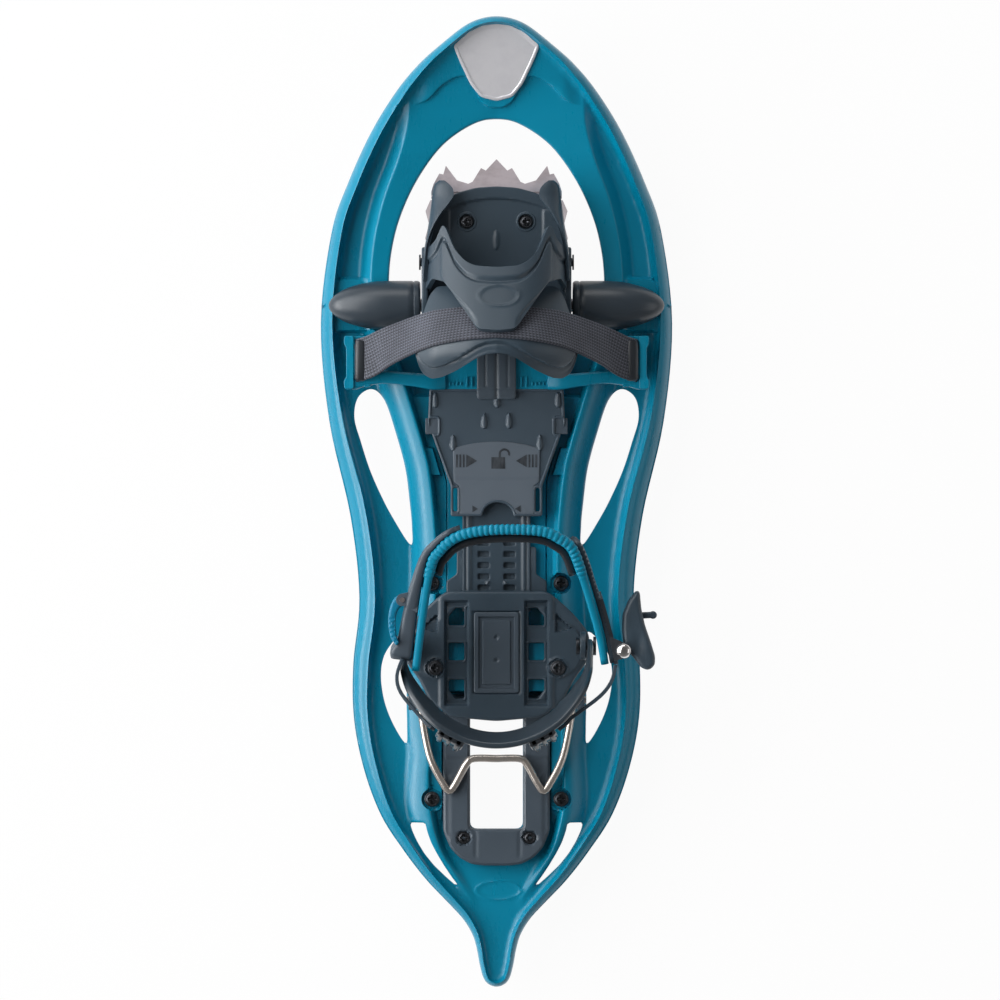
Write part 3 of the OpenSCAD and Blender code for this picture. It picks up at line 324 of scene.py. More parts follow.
def loft(rings: Array) -> Mesh:
    """Skin over a row of rings.

    Args:
        rings: rings of points, all of one length.

    Returns:
        Vertices and faces, with the two ends capped.
    """
    n, m = rings.shape[:2]
    faces = [[i * m + k, i * m + (k + 1) % m, (i + 1) * m + (k + 1) % m, (i + 1) * m + k]
             for i in range(n - 1) for k in range(m)]
    faces += [list(range(m))[::-1], [(n - 1) * m + k for k in range(m)]]
    return rings.reshape(-1, 3), faces


def soft_box(w: float, h: float, r: float, steps: int = 4) -> Array:
    """Section of a bar w by h, with corners rounded by r, about its centre."""
    corner_reach = 1.35
    return rounded_loop(rectangle(-w / 2, -h / 2, w / 2, h / 2), r * corner_reach, steps)


def tube(path: Array, radius: float, sides: int = 16) -> Mesh:
    """Round bar along a path.

    Args:
        path: points of the centre line.
        radius: its radius.
        sides: points round the bar.

    Returns:
        Vertices and faces.
    """
    tangent = directions(path)
    normal = np.cross(tangent[0], [0.31, 0.2, 0.93])
    turn = whole_turn(sides)[:, None]
    rings = []
    for p, t in zip(path, tangent):
        normal = normal - t * normal.dot(t)
        normal /= np.linalg.norm(normal)
        rings.append(p + radius * (np.cos(turn) * normal + np.sin(turn) * np.cross(t, normal)))
    return loft(np.array(rings))


def lathe(profile: Points, centre: Sequence[float], axis: int, sides: int = 48) -> Mesh:
    """Turned piece from a profile of (along, radius).

    Args:
        profile: places along the axis and radii.
        centre: a point on the axis.
        axis: 0, 1 or 2 for X, Y or Z.
        sides: points round the axis.

    Returns:
        Vertices and faces.
    """
    turn = whole_turn(sides)
    u, v = CROSS_AXES[axis]
    rings = np.zeros((len(profile), sides, 3))
    for ring, (along, r) in zip(rings, profile):
        ring[:, axis], ring[:, u], ring[:, v] = along, r * np.cos(turn), r * np.sin(turn)
    verts, faces = loft(rings)
    return verts + np.asarray(centre, float), faces


def extruded(loop: Array, low: float, high: float, axis: int = 2) -> Mesh:
    """Plate from a loop, between two heights along an axis.

    Args:
        loop: outline, in the two other axes taken in order.
        low: first height.
        high: second height.
        axis: 0, 1 or 2.

    Returns:
        Vertices and faces.
    """
    rings = np.zeros((2, len(loop), 3))
    u, v = CROSS_AXES[axis]
    for ring, at in zip(rings, (low, high)):
        ring[:, axis], ring[:, u], ring[:, v] = at, loop[:, 0], loop[:, 1]
    return loft(rings)


def thick_sheet(grid: Array, thick: float, relief: Array | None = None) -> Mesh:
    """Closed sheet over a grid of points.

    Args:
        grid: rows and columns of points of the outer face.
        thick: thickness, measured inward.
        relief: height added to the outer face at each point.

    Returns:
        Vertices and faces.
    """
    along, across = np.gradient(grid, axis=0), np.gradient(grid, axis=1)
    normal = np.cross(along, across)
    if normal[..., 2].mean() < 0:
        grid, normal = grid[:, ::-1], -normal[:, ::-1]
        relief = None if relief is None else relief[:, ::-1]
    normal /= np.maximum(np.linalg.norm(normal, axis=2), TINY)[..., None]
    outer = grid if relief is None else grid + normal * relief[..., None]
    inner = grid - normal * thick
    n, m = grid.shape[:2]
    number = np.arange(n * m).reshape(n, m)
    quads = np.stack([number[:-1, :-1], number[1:, :-1], number[1:, 1:], number[:-1, 1:]], -1).reshape(-1, 4)
    faces = quads.tolist() + (quads[:, ::-1] + n * m).tolist()
    rim = np.concatenate([number[0, :-1], number[:-1, -1], number[-1, :0:-1], number[:0:-1, 0]])
    for a, b in zip(rim, np.roll(rim, -1)):
        faces.append([a, b, b + n * m, a + n * m])
    return np.concatenate([outer.reshape(-1, 3), inner.reshape(-1, 3)]), faces


def soften(obj: bpy.types.Object, width: float, angle: float = 40, segments: int = 3) -> bpy.types.Object:
    """Round the crisp edges of a piece.

    Args:
        obj: the piece.
        width: width of the rounding in millimetres.
        angle: least turn, in degrees, of an edge that is rounded.
        segments: faces across the rounding.

    Returns:
        The same piece.
    """
    bevel = obj.modifiers.new("edge", "BEVEL")
    bevel.width = width * MM
    bevel.segments = segments
    bevel.limit_method = "ANGLE"
    bevel.angle_limit = math.radians(angle)
    return obj


def joined(name: str, parts: Sequence[Mesh], sharp: float = CRISP, edge: tuple = ()) -> bpy.types.Object:
    """One object from several meshes.

    Args:
        name: the piece's name.
        parts: vertices and faces of each mesh.
        sharp: edges that turn by more degrees than this stay crisp.
        edge: what soften takes for its rounding, if it is rounded.

    Returns:
        The object.
    """
    obj = mesh_object(name, *join_meshes(parts), sharp)
    return soften(obj, *edge) if edge else obj


@dataclass
class Relief:
    """Closed moulding whose top and bottom are heights over one outline.

    Rings are distances from the edges, and features lines of points, that keep edges and crests crisp.
    """

    outer: Array
    top: Height
    bottom: Height
    holes: list[Array] = field(default_factory=list)
    gap: float = 1.5
    rings: tuple[float, ...] = (0.3, 0.8, 1.5)
    features: list[Array] = field(default_factory=list)
    least_wall: ClassVar[float] = 0.2
    loop_share: ClassVar[float] = 0.9
    ring_share: ClassVar[float] = 0.86
    edge_share: ClassVar[float] = 0.45
    fine_share: ClassVar[float] = 0.62
    row_share: ClassVar[float] = 0.866
    feature_room: ClassVar[float] = 0.25

    def depth(self, q: Array) -> Array:
        """Distance of each point to the nearest edge."""
        return np.min([line_distance(q, loop) for loop in (self.outer, *self.holes)], axis=0)

    def solid(self, q: Array) -> Array:
        """Which points have material.

        Args:
            q: points of the plan.

        Returns:
            A flag for each point.
        """
        hit = within(q, self.outer)
        for hole in self.holes:
            hit &= ~within(q, hole)
        return hit

    def clear(self, q: Array, room: float) -> Array:
        """The points that have material and more than some room to every edge."""
        q = q[self.solid(q)]
        return q[self.depth(q) > room]

    def fine_points(self) -> Array:
        """Points beside the edges and along the features.

        Returns:
            The points, two columns.
        """
        inner = [np.zeros((0, 2))]
        for loop in (self.outer, *self.holes):
            across = loop_normals(loop)
            inner += [self.clear(loop + across * d * side, self.ring_share * d) for d in self.rings for side in (1, -1)]
        inner += [self.clear(line, self.feature_room) for line in self.features]
        return np.concatenate(inner)

    def grid_points(self, fine: Array) -> Array:
        """Even points over the rest of the plan.

        Args:
            fine: the points that they keep clear of.

        Returns:
            The points, two columns.
        """
        lo, hi = self.outer.min(0), self.outer.max(0)
        ys = np.arange(lo[1], hi[1], self.gap * self.row_share)
        gx, gy = np.meshgrid(np.arange(lo[0], hi[0], self.gap), ys)
        gx = gx + (np.arange(len(ys)) % 2)[:, None] * self.gap / 2
        grid = self.clear(np.stack([gx.ravel(), gy.ravel()], 1), self.edge_share * self.gap)
        if not len(fine):
            return grid
        tree = KDTree(len(fine))
        for i, (x, y) in enumerate(fine):
            tree.insert((x, y, 0), i)
        tree.balance()
        return grid[[tree.find((x, y, 0))[2] > self.fine_share * self.gap for x, y in grid]]

    def triangles(self) -> tuple[Array, Array]:
        """Plan cut into triangles.

        Returns:
            The points, and the point numbers of each triangle, anticlockwise.
        """
        loops = [evenly(loop, self.gap * self.loop_share) for loop in (self.outer, *self.holes)]
        self.outer, self.holes = loops[0], loops[1:]
        edges, base = [], 0
        for loop in loops:
            n = len(loop)
            edges += [(base + k, base + (k + 1) % n) for k in range(n)]
            base += n
        fine = self.fine_points()
        q = np.concatenate([*loops, fine, self.grid_points(fine)])
        cut = delaunay_2d_cdt([Vector(p) for p in q.tolist()], edges, [], 0, 1e-6)
        at = np.array([tuple(v) for v in cut[0]])
        tri = np.array([f for f in cut[2] if len(f) == 3])
        tri = tri[self.solid(at[tri].mean(1))]
        a, b, c = (at[tri[:, k]] for k in range(3))
        turn = (b[:, 0] - a[:, 0]) * (c[:, 1] - a[:, 1]) - (b[:, 1] - a[:, 1]) * (c[:, 0] - a[:, 0])
        kept = np.abs(turn) > TINY
        tri, turn = tri[kept], turn[kept]
        tri[turn < 0] = tri[turn < 0][:, ::-1]
        return at, tri

    def skin(self) -> Mesh:
        """Closed skin: the top, the bottom and the walls between them.

        Returns:
            Vertices and faces.
        """
        at, tri = self.triangles()
        depth = self.depth(at)
        x, y = at[:, 0], at[:, 1]
        high = self.top(x, y, depth)
        low = np.minimum(self.bottom(x, y, depth), high - self.least_wall)
        n = len(at)
        verts = np.concatenate([np.column_stack([at, high]), np.column_stack([at, low])])
        faces = tri.tolist() + (tri[:, ::-1] + n).tolist()
        once: dict[tuple[int, int], None] = {}
        for a, b, c in tri.tolist():
            for i, j in ((a, b), (b, c), (c, a)):
                if (j, i) in once:
                    del once[(j, i)]
                else:
                    once[(i, j)] = None
        faces += [[j, i, i + n, j + n] for i, j in once]
        used = np.unique(np.concatenate([np.ravel(f) for f in faces]))
        place = np.full(2 * n, -1)
        place[used] = np.arange(len(used))
        return verts[used], [[int(place[k]) for k in f] for f in faces]

    def piece(self, name: str, sharp: float = CRISP) -> bpy.types.Object:
        """The moulding as an object."""
        return mesh_object(name, *self.skin(), sharp)


# ---------------------------------------------------------------- shaders

class Link:
    """One shader socket, with arithmetic that adds Math nodes."""

    def __init__(self, shade: "Shade", socket: bpy.types.NodeSocket) -> None:
        """Keep the shader and the socket."""
        self.shade = shade
        self.socket = socket

    def _math(self, operation: str, a: Any, b: Any) -> "Link":
        """Math node on two values."""
        return self.shade.node("ShaderNodeMath", {"operation": operation}, {0: a, 1: b})

    def __add__(self, other: Any) -> "Link":
        """Sum."""
        return self._math("ADD", self, other)

    __radd__ = __add__

    def __sub__(self, other: Any) -> "Link":
        """Difference."""
        return self._math("SUBTRACT", self, other)

    def __rsub__(self, other: Any) -> "Link":
        """Difference from a number."""
        return self._math("SUBTRACT", other, self)

    def __mul__(self, other: Any) -> "Link":
        """Product."""
        return self._math("MULTIPLY", self, other)

    __rmul__ = __mul__

    def __pow__(self, other: Any) -> "Link":
        """Power."""
        return self._math("POWER", self, other)

    def limited(self) -> "Link":
        """The value held between 0 and 1."""
        return self.shade.node("ShaderNodeClamp", {}, {"Value": self})

    def sine(self) -> "Link":
        """The sine of the value."""
        return self.shade.node("ShaderNodeMath", {"operation": "SINE"}, {0: self})


class Shade:
    """Node tree of one material."""

    def __init__(self, holder: bpy.types.Material | bpy.types.World) -> None:
        """Take a material or a world and turn its nodes on.

        Args:
            holder: the material or the world.
        """
        holder.use_nodes = True
        self.tree = holder.node_tree
        self.shader = self.tree.nodes.get("Principled BSDF") or self.tree.nodes["Background"]

    def node(self, kind: str, settings: dict[str, Any], inputs: dict[Any, Any], output: Any = 0) -> Link:
        """Add one node.

        Args:
            kind: the node's type.
            settings: properties set first.
            inputs: values or links by socket name or number.
            output: name or number of the socket given back.

        Returns:
            The output, wrapped.
        """
        made = self.tree.nodes.new(kind)
        for key, value in settings.items():
            setattr(made, key, value)
        for key, value in inputs.items():
            self.feed(made.inputs[key], value)
        return Link(self, made.outputs[output])

    def feed(self, socket: bpy.types.NodeSocket, value: Any) -> None:
        """Link or set one input.

        Args:
            socket: the input.
            value: a link or a plain value.
        """
        if isinstance(value, Link):
            self.tree.links.new(value.socket, socket)
        else:
            socket.default_value = value

    def give(self, **inputs: Any) -> None:
        """Feed the Principled shader, with _ for a space in a socket's name."""
        for key, value in inputs.items():
            self.feed(self.shader.inputs[key.replace("_", " ")], value)

    def place(self) -> Link:
        """The piece's own coordinates, in metres."""
        return self.node("ShaderNodeTexCoord", {}, {}, "Object")

    def stretched(self, at: Link, scale: Sequence[float]) -> Link:
        """Coordinates scaled along each axis."""
        return self.node("ShaderNodeVectorMath", {"operation": "MULTIPLY"}, {0: at, 1: tuple(scale)})

    def noise(self, at: Link, scale: float, detail: float = 2.0, rough: float = 0.5) -> Link:
        """Noise value about 0.5."""
        return self.node("ShaderNodeTexNoise", {}, {"Vector": at, "Scale": scale, "Detail": detail,
                                                    "Roughness": rough}, "Fac")

    def mix(self, factor: Any, a: Any, b: Any) -> Link:
        """Mix of two colours."""
        return self.node("ShaderNodeMix", {"data_type": "RGBA"}, {0: factor, 6: a, 7: b}, 2)

    def bump(self, height: Link, depth: float, strength: float = 1.0) -> Link:
        """Bump of a depth in metres."""
        return self.node("ShaderNodeBump", {}, {"Height": height, "Distance": depth, "Strength": strength})

    def edges(self, start: float, gain: float) -> Link:
        """Mask of outward edges."""
        sharp = self.node("ShaderNodeNewGeometry", {}, {}, "Pointiness")
        return ((sharp - start) * gain).limited()

    def part(self, at: Link, axis: int) -> Link:
        """One of the three parts of a vector."""
        return self.node("ShaderNodeSeparateXYZ", {}, {0: at}, axis)


def rgb(r: float, g: float, b: float) -> tuple[float, float, float, float]:
    """Linear colour from screen values.

    Args:
        r: red, from 0 to 255.
        g: green.
        b: blue.

    Returns:
        The linear colour, with an alpha of 1.
    """
    def linear(value: float) -> float:
        """One channel, by the sRGB curve."""
        value /= 255
        return value / 12.92 if value <= 0.04045 else ((value + 0.055) / 1.055) ** 2.4
    return linear(r), linear(g), linear(b), 1.0


class Slot(Enum):
    """Material slots of the record."""

    DECK = "deck_plastic"
    BRIGHT = "bright_teal"
    DARK = "dark_plastic"
    GREY = "grey_plastic"
    BLACK = "black_plastic"
    SCREW = "screw_black"
    STEEL = "steel"
    WEBBING = "webbing"
    BADGE = "badge_silver"


@dataclass(frozen=True)
class Finish:
    """A finish that makes one material."""

    name: str
    slot: Slot

    def paint(self, shade: Shade) -> None:
        """Fill in the shader."""
        raise NotImplementedError

    def material(self) -> bpy.types.Material:
        """The material, made on first use.

        Returns:
            The one material of this name.
        """
        known = bpy.data.materials.get(self.name)
        if known:
            return known
        made = bpy.data.materials.new(self.name)
        self.paint(Shade(made))
        return made


@dataclass(frozen=True)
class Moulded(Finish):
    """Injection moulded plastic with a fine spark grain, soft colour drift and rubbed edges.

    Scales are noise scales a metre, and depths are in metres.
    """

    colour: tuple = (0.5, 0.5, 0.5, 1)
    deep: tuple = (0.4, 0.4, 0.4, 1)
    rubbed: tuple = (0.7, 0.7, 0.7, 1)
    roughness: float = 0.42
    grain: float = 1500.0
    grain_depth: float = 0.00005
    coat: float = 0.15
    wear: float = 0.5
    shine: float = 0.5
    drift_scale: ClassVar[float] = 22.0
    scuff_scale: ClassVar[float] = 260.0
    scuff_stretch: ClassVar[tuple] = (1, 0.25, 1)

    def paint(self, shade: Shade) -> None:
        """Colour drift, grain and rubbed edges.

        Args:
            shade: the material's shader.
        """
        at = shade.place()
        drift = shade.noise(at, self.drift_scale, 3)
        grain = shade.noise(at, self.grain, 3, 0.6)
        scuff = shade.noise(shade.stretched(at, self.scuff_stretch), self.scuff_scale, 4, 0.65)
        base = shade.mix(drift, self.deep, self.colour)
        rub = shade.edges(0.515, 9) * ((scuff - 0.38) * 3).limited() * self.wear
        shade.give(Base_Color=shade.mix(rub, base, self.rubbed),
                   Roughness=(self.roughness + (drift - 0.5) * 0.12 + (scuff - 0.5) * 0.14 + rub * 0.1).limited(),
                   Normal=shade.bump(grain, self.grain_depth, 0.6),
                   Coat_Weight=self.coat, Coat_Roughness=0.3, Specular_IOR_Level=self.shine)


@dataclass(frozen=True)
class BareMetal(Finish):
    """Brushed or plated metal with fine draw lines and small stains."""

    colour: tuple = (0.6, 0.6, 0.6, 1)
    stain: tuple = (0.4, 0.38, 0.36, 1)
    roughness: float = 0.33
    draw: tuple = (1, 1, 14)
    metal: float = 1.0
    line_scale: ClassVar[float] = 420.0
    line_depth: ClassVar[float] = 0.00003
    cloud_scale: ClassVar[float] = 90.0

    def paint(self, shade: Shade) -> None:
        """Draw lines and stains.

        Args:
            shade: the material's shader.
        """
        at = shade.place()
        lines = shade.noise(shade.stretched(at, self.draw), self.line_scale, 3, 0.6)
        cloud = shade.noise(at, self.cloud_scale, 4, 0.6)
        shade.give(Base_Color=shade.mix(((cloud - 0.45) * 2.4).limited(), self.colour, self.stain),
                   Metallic=self.metal,
                   Roughness=(self.roughness + (lines - 0.5) * 0.22 + (cloud - 0.5) * 0.2).limited(),
                   Normal=shade.bump(lines, self.line_depth, 0.5))


@dataclass(frozen=True)
class Woven(Finish):
    """Ribbed webbing, drawn from the strap's own run and width. Turns are in radians a metre."""

    colour: tuple = (0.08, 0.08, 0.09, 1)
    thread: tuple = (0.16, 0.16, 0.17, 1)
    rib_turns: ClassVar[float] = 3300.0
    stitch_turns: ClassVar[float] = 3100.0
    fuzz_scale: ClassVar[float] = 2600.0
    cloud_scale: ClassVar[float] = 60.0
    weave_depth: ClassVar[float] = 0.00022

    def paint(self, shade: Shade) -> None:
        """Warp ribs along the strap crossed by short weft stitches.

        Args:
            shade: the material's shader.
        """
        run = shade.node("ShaderNodeAttribute", {"attribute_name": "strap_run"}, {}, "Vector")
        rib = (shade.part(run, 1) * self.rib_turns).sine()
        stitch = (shade.part(run, 0) * self.stitch_turns + rib * 1.3).sine()
        fuzz = shade.noise(shade.place(), self.fuzz_scale, 3, 0.6)
        weave = rib * 0.38 + stitch * 0.38 + fuzz * 0.4 + 0.3
        cloud = shade.noise(shade.place(), self.cloud_scale, 3)
        shade.give(Base_Color=shade.mix((weave * 0.7 + (cloud - 0.5) * 0.6).limited(), self.colour, self.thread),
                   Roughness=(0.72 + (fuzz - 0.5) * 0.3).limited(),
                   Normal=shade.bump(weave, self.weave_depth, 0.6))


class Finishes:
    """The finishes of this object."""

    teal = Moulded("teal_deck", Slot.DECK, rgb(0, 134, 166), rgb(0, 122, 153), rgb(50, 165, 192), 0.29,
                   grain=1300, grain_depth=0.00004, coat=0.0, wear=0.2, shine=0.36)
    bright = Moulded("bright_teal_rubber", Slot.BRIGHT, rgb(0, 137, 169), rgb(0, 122, 153), rgb(54, 172, 197), 0.45,
                     grain=2200, coat=0.0, wear=0.3, shine=0.25)
    dark = Moulded("dark_moulding", Slot.DARK, rgb(56, 71, 83), rgb(45, 59, 70), rgb(108, 121, 132), 0.42,
                   grain=1700, grain_depth=0.00006, coat=0.05, wear=0.45)
    cover = Moulded("cover_moulding", Slot.DARK, rgb(67, 81, 93), rgb(55, 68, 79), rgb(114, 127, 138), 0.42,
                    grain=1700, grain_depth=0.00006, coat=0.05, wear=0.45)
    grey = Moulded("mid_grey_moulding", Slot.GREY, rgb(72, 84, 95), rgb(61, 71, 81), rgb(126, 138, 148), 0.44,
                   grain=1700, grain_depth=0.00006, coat=0.0, wear=0.45)
    cap = Moulded("smooth_cap", Slot.DARK, rgb(54, 64, 73), rgb(47, 55, 63), rgb(104, 113, 122), 0.34,
                  grain=2600, grain_depth=0.00002, coat=0.12, wear=0.3)
    cup = Moulded("smooth_cup", Slot.DARK, rgb(52, 63, 72), rgb(41, 50, 58), rgb(104, 110, 116), 0.2,
                  grain=2600, grain_depth=0.00003, coat=0.4, wear=0.0)
    gloss = Moulded("gloss_black", Slot.BLACK, rgb(38, 42, 47), rgb(26, 29, 33), rgb(90, 94, 100), 0.2,
                    grain=2600, grain_depth=0.00002, coat=0.4, wear=0.5)
    clip = Moulded("deep_teal_clip", Slot.BRIGHT, rgb(0, 122, 158), rgb(0, 108, 142), rgb(40, 160, 190), 0.4,
                   grain=2000, coat=0.0, wear=0.3, shine=0.35)
    pale = Moulded("pale_grey_moulding", Slot.GREY, rgb(94, 104, 114), rgb(84, 93, 103), rgb(140, 148, 156), 0.4,
                   grain=1700, grain_depth=0.00006, coat=0.0, wear=0.4)
    black = Moulded("black_moulding", Slot.BLACK, rgb(42, 47, 53), rgb(30, 34, 39), rgb(92, 98, 105), 0.38,
                    grain=1900, coat=0.1, wear=0.45)
    screw = BareMetal("black_screw", Slot.SCREW, rgb(78, 80, 84), rgb(46, 46, 48), 0.36, (6, 6, 1))
    steel = BareMetal("warm_steel", Slot.STEEL, rgb(206, 198, 198), rgb(170, 160, 158), 0.3, (1, 1, 12))
    wire = BareMetal("drawn_wire", Slot.STEEL, rgb(206, 197, 189), rgb(196, 186, 177), 0.2, (1, 1, 1), 0.8)
    claw = BareMetal("dull_claw_steel", Slot.STEEL, rgb(178, 168, 172), rgb(150, 140, 142), 0.42, (1, 12, 1))
    polished = BareMetal("polished_steel", Slot.STEEL, rgb(226, 222, 220), rgb(200, 194, 190), 0.14, (1, 1, 1))
    badge = BareMetal("satin_badge", Slot.BADGE, rgb(216, 215, 219), rgb(204, 203, 208), 0.5, (1, 14, 1), 0.3)
    webbing = Woven("ribbed_webbing", Slot.WEBBING, rgb(38, 40, 48), rgb(101, 105, 117))


def settle(obj: bpy.types.Object, body: str, finish: Finish, *nodes: str) -> bpy.types.Object:
    """Dress a piece, make it ride and hide the solids it stands for.

    Args:
        obj: the piece.
        body: the body it moves with.
        finish: its finish.
        nodes: the solids it replaces.

    Returns:
        The same piece.
    """
    obj.data.materials.clear()
    obj.data.materials.append(finish.material())
    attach(obj, body)
    if nodes:
        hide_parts(*nodes)
    LOG.info("%s: %d faces on %s", obj.name, len(obj.data.polygons), body)
    return obj


def keep_solid(node: str, finish: Finish, edge: float) -> None:
    """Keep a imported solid, with softened edges and a finish.

    Args:
        node: the solid's name.
        finish: its finish.
        edge: width of the softened edge in millimetres.
    """
    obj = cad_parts[node]
    for slot in obj.material_slots:
        slot.material = finish.material()
    weld = obj.modifiers.new("weld", "WELD")
    weld.merge_threshold = 0.01 * MM
    soften(obj, edge, SOLID_CRISP)
    LOG.info("%s: kept from the solids", node)


def screw_heads(name: str, places: Sequence[tuple], radius: float) -> bpy.types.Object:
    """Low pan heads with a crossed recess.

    Args:
        name: the piece's name.
        places: x, y, lowest and highest z of each head.
        radius: radius of a head.

    Returns:
        The heads as one piece.
    """
    parts = []
    for px, py, low, high in places:
        def top(x: Array, y: Array, depth: Array) -> Array:
            """Crowned head, a ring and the recess.

            Args:
                x: places across.
                y: places along.
                depth: distance to the head's edge.

            Returns:
                The heights.
            """
            u, v = np.abs(x - px), np.abs(y - py)
            away = np.hypot(u, v)
            crown = high - 0.5 * (away / radius) ** 2 - edge_drop(depth, 0.5)
            slot = np.minimum(0.62 - np.minimum(u, v), 0.56 * radius - np.maximum(u, v))
            cross = 1.3 * step_between(slot, -0.1, 0.15)
            pit = 0.5 * (1 - step_between(away, 0.2 * radius, 0.3 * radius))
            return crown - cross - pit - 0.25 * bell(away, 0.74 * radius, 0.25)
        ring = arc((px, py), radius, whole_turn(40))
        parts.append(Relief(ring, top, eased(low), [], 0.42, (0.15, 0.35)).skin())
    return joined(name, parts, 34)


# ---------------------------------------------------------------- deck

@dataclass
class Deck:
    """Moulded deck with its badge, pivot caps, heel rest and fixings. Sizes in millimetres.

    Points are (x, y) of the right half, and rows are (y, size) unless a comment says otherwise.
    """

    sheet: float = 22.0
    floor: float = 18.0
    wall: float = 4.2
    axle_y: float = 116.0
    axle_z: float = 35.0
    cap_x: float = 44.7
    cap_r: float = 14.5
    cap_nose: tuple = (17.0, 37.0)  # start and length of the bullet's nose
    cap_room: float = 0.7
    seat_z: float = 26.7
    seat_x: tuple = (63.5, 96.0)
    seat_reach: float = 15.5
    bed_x: float = 44.0
    kick: float = 0.35644
    bend: float = 0.0020252
    bend_y: tuple = (140.0, 228.0)
    tail_rise: tuple = (-215.0, 70.0, 8.0)  # start, length and rise of the tail's bend
    outline: Points = (
        (0, 285), (9.6, 283.6), (19.2, 279.2), (32.6, 268.8), (45.8, 257.2), (58.8, 241.8), (73.5, 218.5), (87.2, 189),
        (97, 160), (103.5, 106), (98.5, 48), (86, -8), (80.8, -56), (84.4, -95), (84, -127), (78.1, -157), (68.1, -184),
        (54.9, -204.6), (41.5, -222), (27.6, -236.6), (19.6, -245.4), (14.2, -254.4), (11.6, -263), (9.9, -272),
        (7.8, -279.6), (4.8, -283.4), (0, -285))
    rail: Points = (
        (49, 236), (50.5, 220), (56, 200), (64, 178), (69.5, 154), (71.5, 130), (70.5, 108), (66, 88), (60, 70),
        (49, 34), (44.5, 14), (41, -25), (41.5, -60), (44, -100), (44.5, -125), (43, -150), (40.5, -170),
        (37.8, -188), (32.7, -205), (23.7, -220), (15, -233))
    rail_width: Points = ((-233, 6), (-188, 7.4), (-165, 10), (-135, 15), (70, 15), (100, 12), (130, 8), (236, 7))
    rail_rise: Points = (
        (-240, 0), (-226, 1.5), (-212, 3.5), (-190, 8), (-106, 8), (-96, 13), (95, 13), (132, 7.5), (205, 6.5),
        (226, 4), (238, 1.5), (246, 0))
    ridge_y: tuple = (84.0, 128.0)  # where the rail turns into the ridge round the toe opening
    rail_end: tuple = (140.0, 185.0)  # where it thins toward the tail, as -y
    crest_at: tuple = (2.0, 1.5)  # from the inner side of the rail, and from the outer side of the ridge
    rail_reach: tuple = (2.6, 0.4)  # inside the crest, and beyond its width outside
    ridge_reach: tuple = (20.0, 6.8)  # inside the crest, and outside
    ridge_fade: float = 70.0
    end_reach: float = 3.4
    rail_foot: Points = ((-215, 4.2), (-190, 13), (-150, 18))
    rim_rise: Points = ((-285, 3), (-245, 4), (-215, 5), (-90, 5.4), (-20, 9), (200, 9), (285, 5))
    rim_drop: float = 1.6
    rim_bead: tuple = (0.7, 0.6)  # rise and width
    lip: float = 1.1
    crest_in: Points = (
        (-285, 2.4), (-262, 2.8), (-240, 4), (-215, 5), (-160, 7.4), (-100, 8.8), (-34, 9.4), (10, 9.2), (60, 7.6),
        (150, 6), (240, 5.4), (262, 4.0), (285, 3.4))
    opening: Points = (
        (0, 225.5), (14, 222.5), (32, 210), (47, 189.5), (57, 167.5), (62, 147), (63.5, 128), (63.5, 108), (58, 97),
        (40, 93), (0, 92))
    windows: tuple = (  # (share of the way from the rail to the edge, y)
        ((0.04, 60), (0.02, 40), (0.02, 20), (0.02, 0), (0.02, -14), (0.06, -25), (0.33, -8), (0.47, 6), (0.555, 20),
         (0.585, 36), (0.6, 50), (0.47, 62), (0.2, 67)),
        ((0.06, -82), (0.03, -95), (0.03, -115), (0.03, -132), (0.09, -142), (0.28, -131), (0.43, -117), (0.5, -102),
         (0.46, -90), (0.28, -80), (0.12, -76)))
    tail_window: Points = (
        (51, -188.4), (41.8, -188.4), (41, -193), (38.6, -200), (35.2, -206.6), (31, -213.7), (26.3, -220.7),
        (22.8, -225.2), (24.4, -225.2), (29.6, -220.7), (36.9, -213.7), (42.6, -206.6), (46.8, -199.6), (49.8, -193))
    heel_window: tuple = (-15.5, -192.0, 15.5, -118.0)
    shelf_in: Points = ((-190, 32.0), (-116, 32.0), (-108, 29.2), (12, 29.2), (30, 34.2), (44, 37.3), (66, 37.3))
    shelf_front: float = 63.0
    shelf_rear: tuple = (-192.0, -172.0)
    shelf_rise: float = 5.2
    pad_rise: float = 3.6
    pad_y: tuple = (15.5, 33.0)
    pad_in: tuple = (31.0, 12.0, 0.29)  # x of the pad's inner side, the y where it is that far in, and its slant
    blocks: Points = ((-117, -74, 12.4), (-75, -57, 5.4))  # two y and the rise of the blocks under the platform
    block_x: tuple = (16.8, 30.6)
    tail_oval: tuple = (1.0, -228.4, 13.0, 5.4)  # middle and radii
    wave: Points = ((-75, 232), (-60, 232), (-42.5, 235.5), (-32, 245), (-22.5, 250), (-16, 248.3), (-9.6, 236.5),
                    (-4.5, 232.6), (0, 232))
    step_rise: float = 2.0
    step_x: tuple = (38.0, 50.0)
    rib_y: tuple = (-104.0, -80.0, -56.0, -32.0, -8.0, 16.0, 40.0, 64.0)
    rib_x: float = 12.0
    rib_deep: float = 2.6
    rib_area: tuple = (9.0, -113.0, 86.0)  # room to the rail, and the two ends
    spikes: Points = ((79.5, 92), (38, -47.5), (38, -174.5))
    spike_r: tuple = (6.2, 7.6)  # radius of a spike's seat and of the ring round it
    spike_z: tuple = (26.0, 26.6)
    front_spike_r: float = 6.4
    rest_loop: Points = (
        (31.5, -113), (31.5, -193), (27.4, -203), (22, -208.8), (15, -212.6), (8, -213.6), (-8, -213.6),
        (-15, -212.6), (-22, -208.8), (-27.4, -203), (-31.5, -193), (-31.5, -113), (-15.7, -113), (-15.7, -192),
        (15.7, -192), (15.7, -113))
    rest_z: tuple = (22.05, 30.4)
    rest_screw: tuple = (19.4, -197.2)
    rest_bed: tuple = (31.9, -215.0, -112.0)  # half width and the two ends of the place cut for it
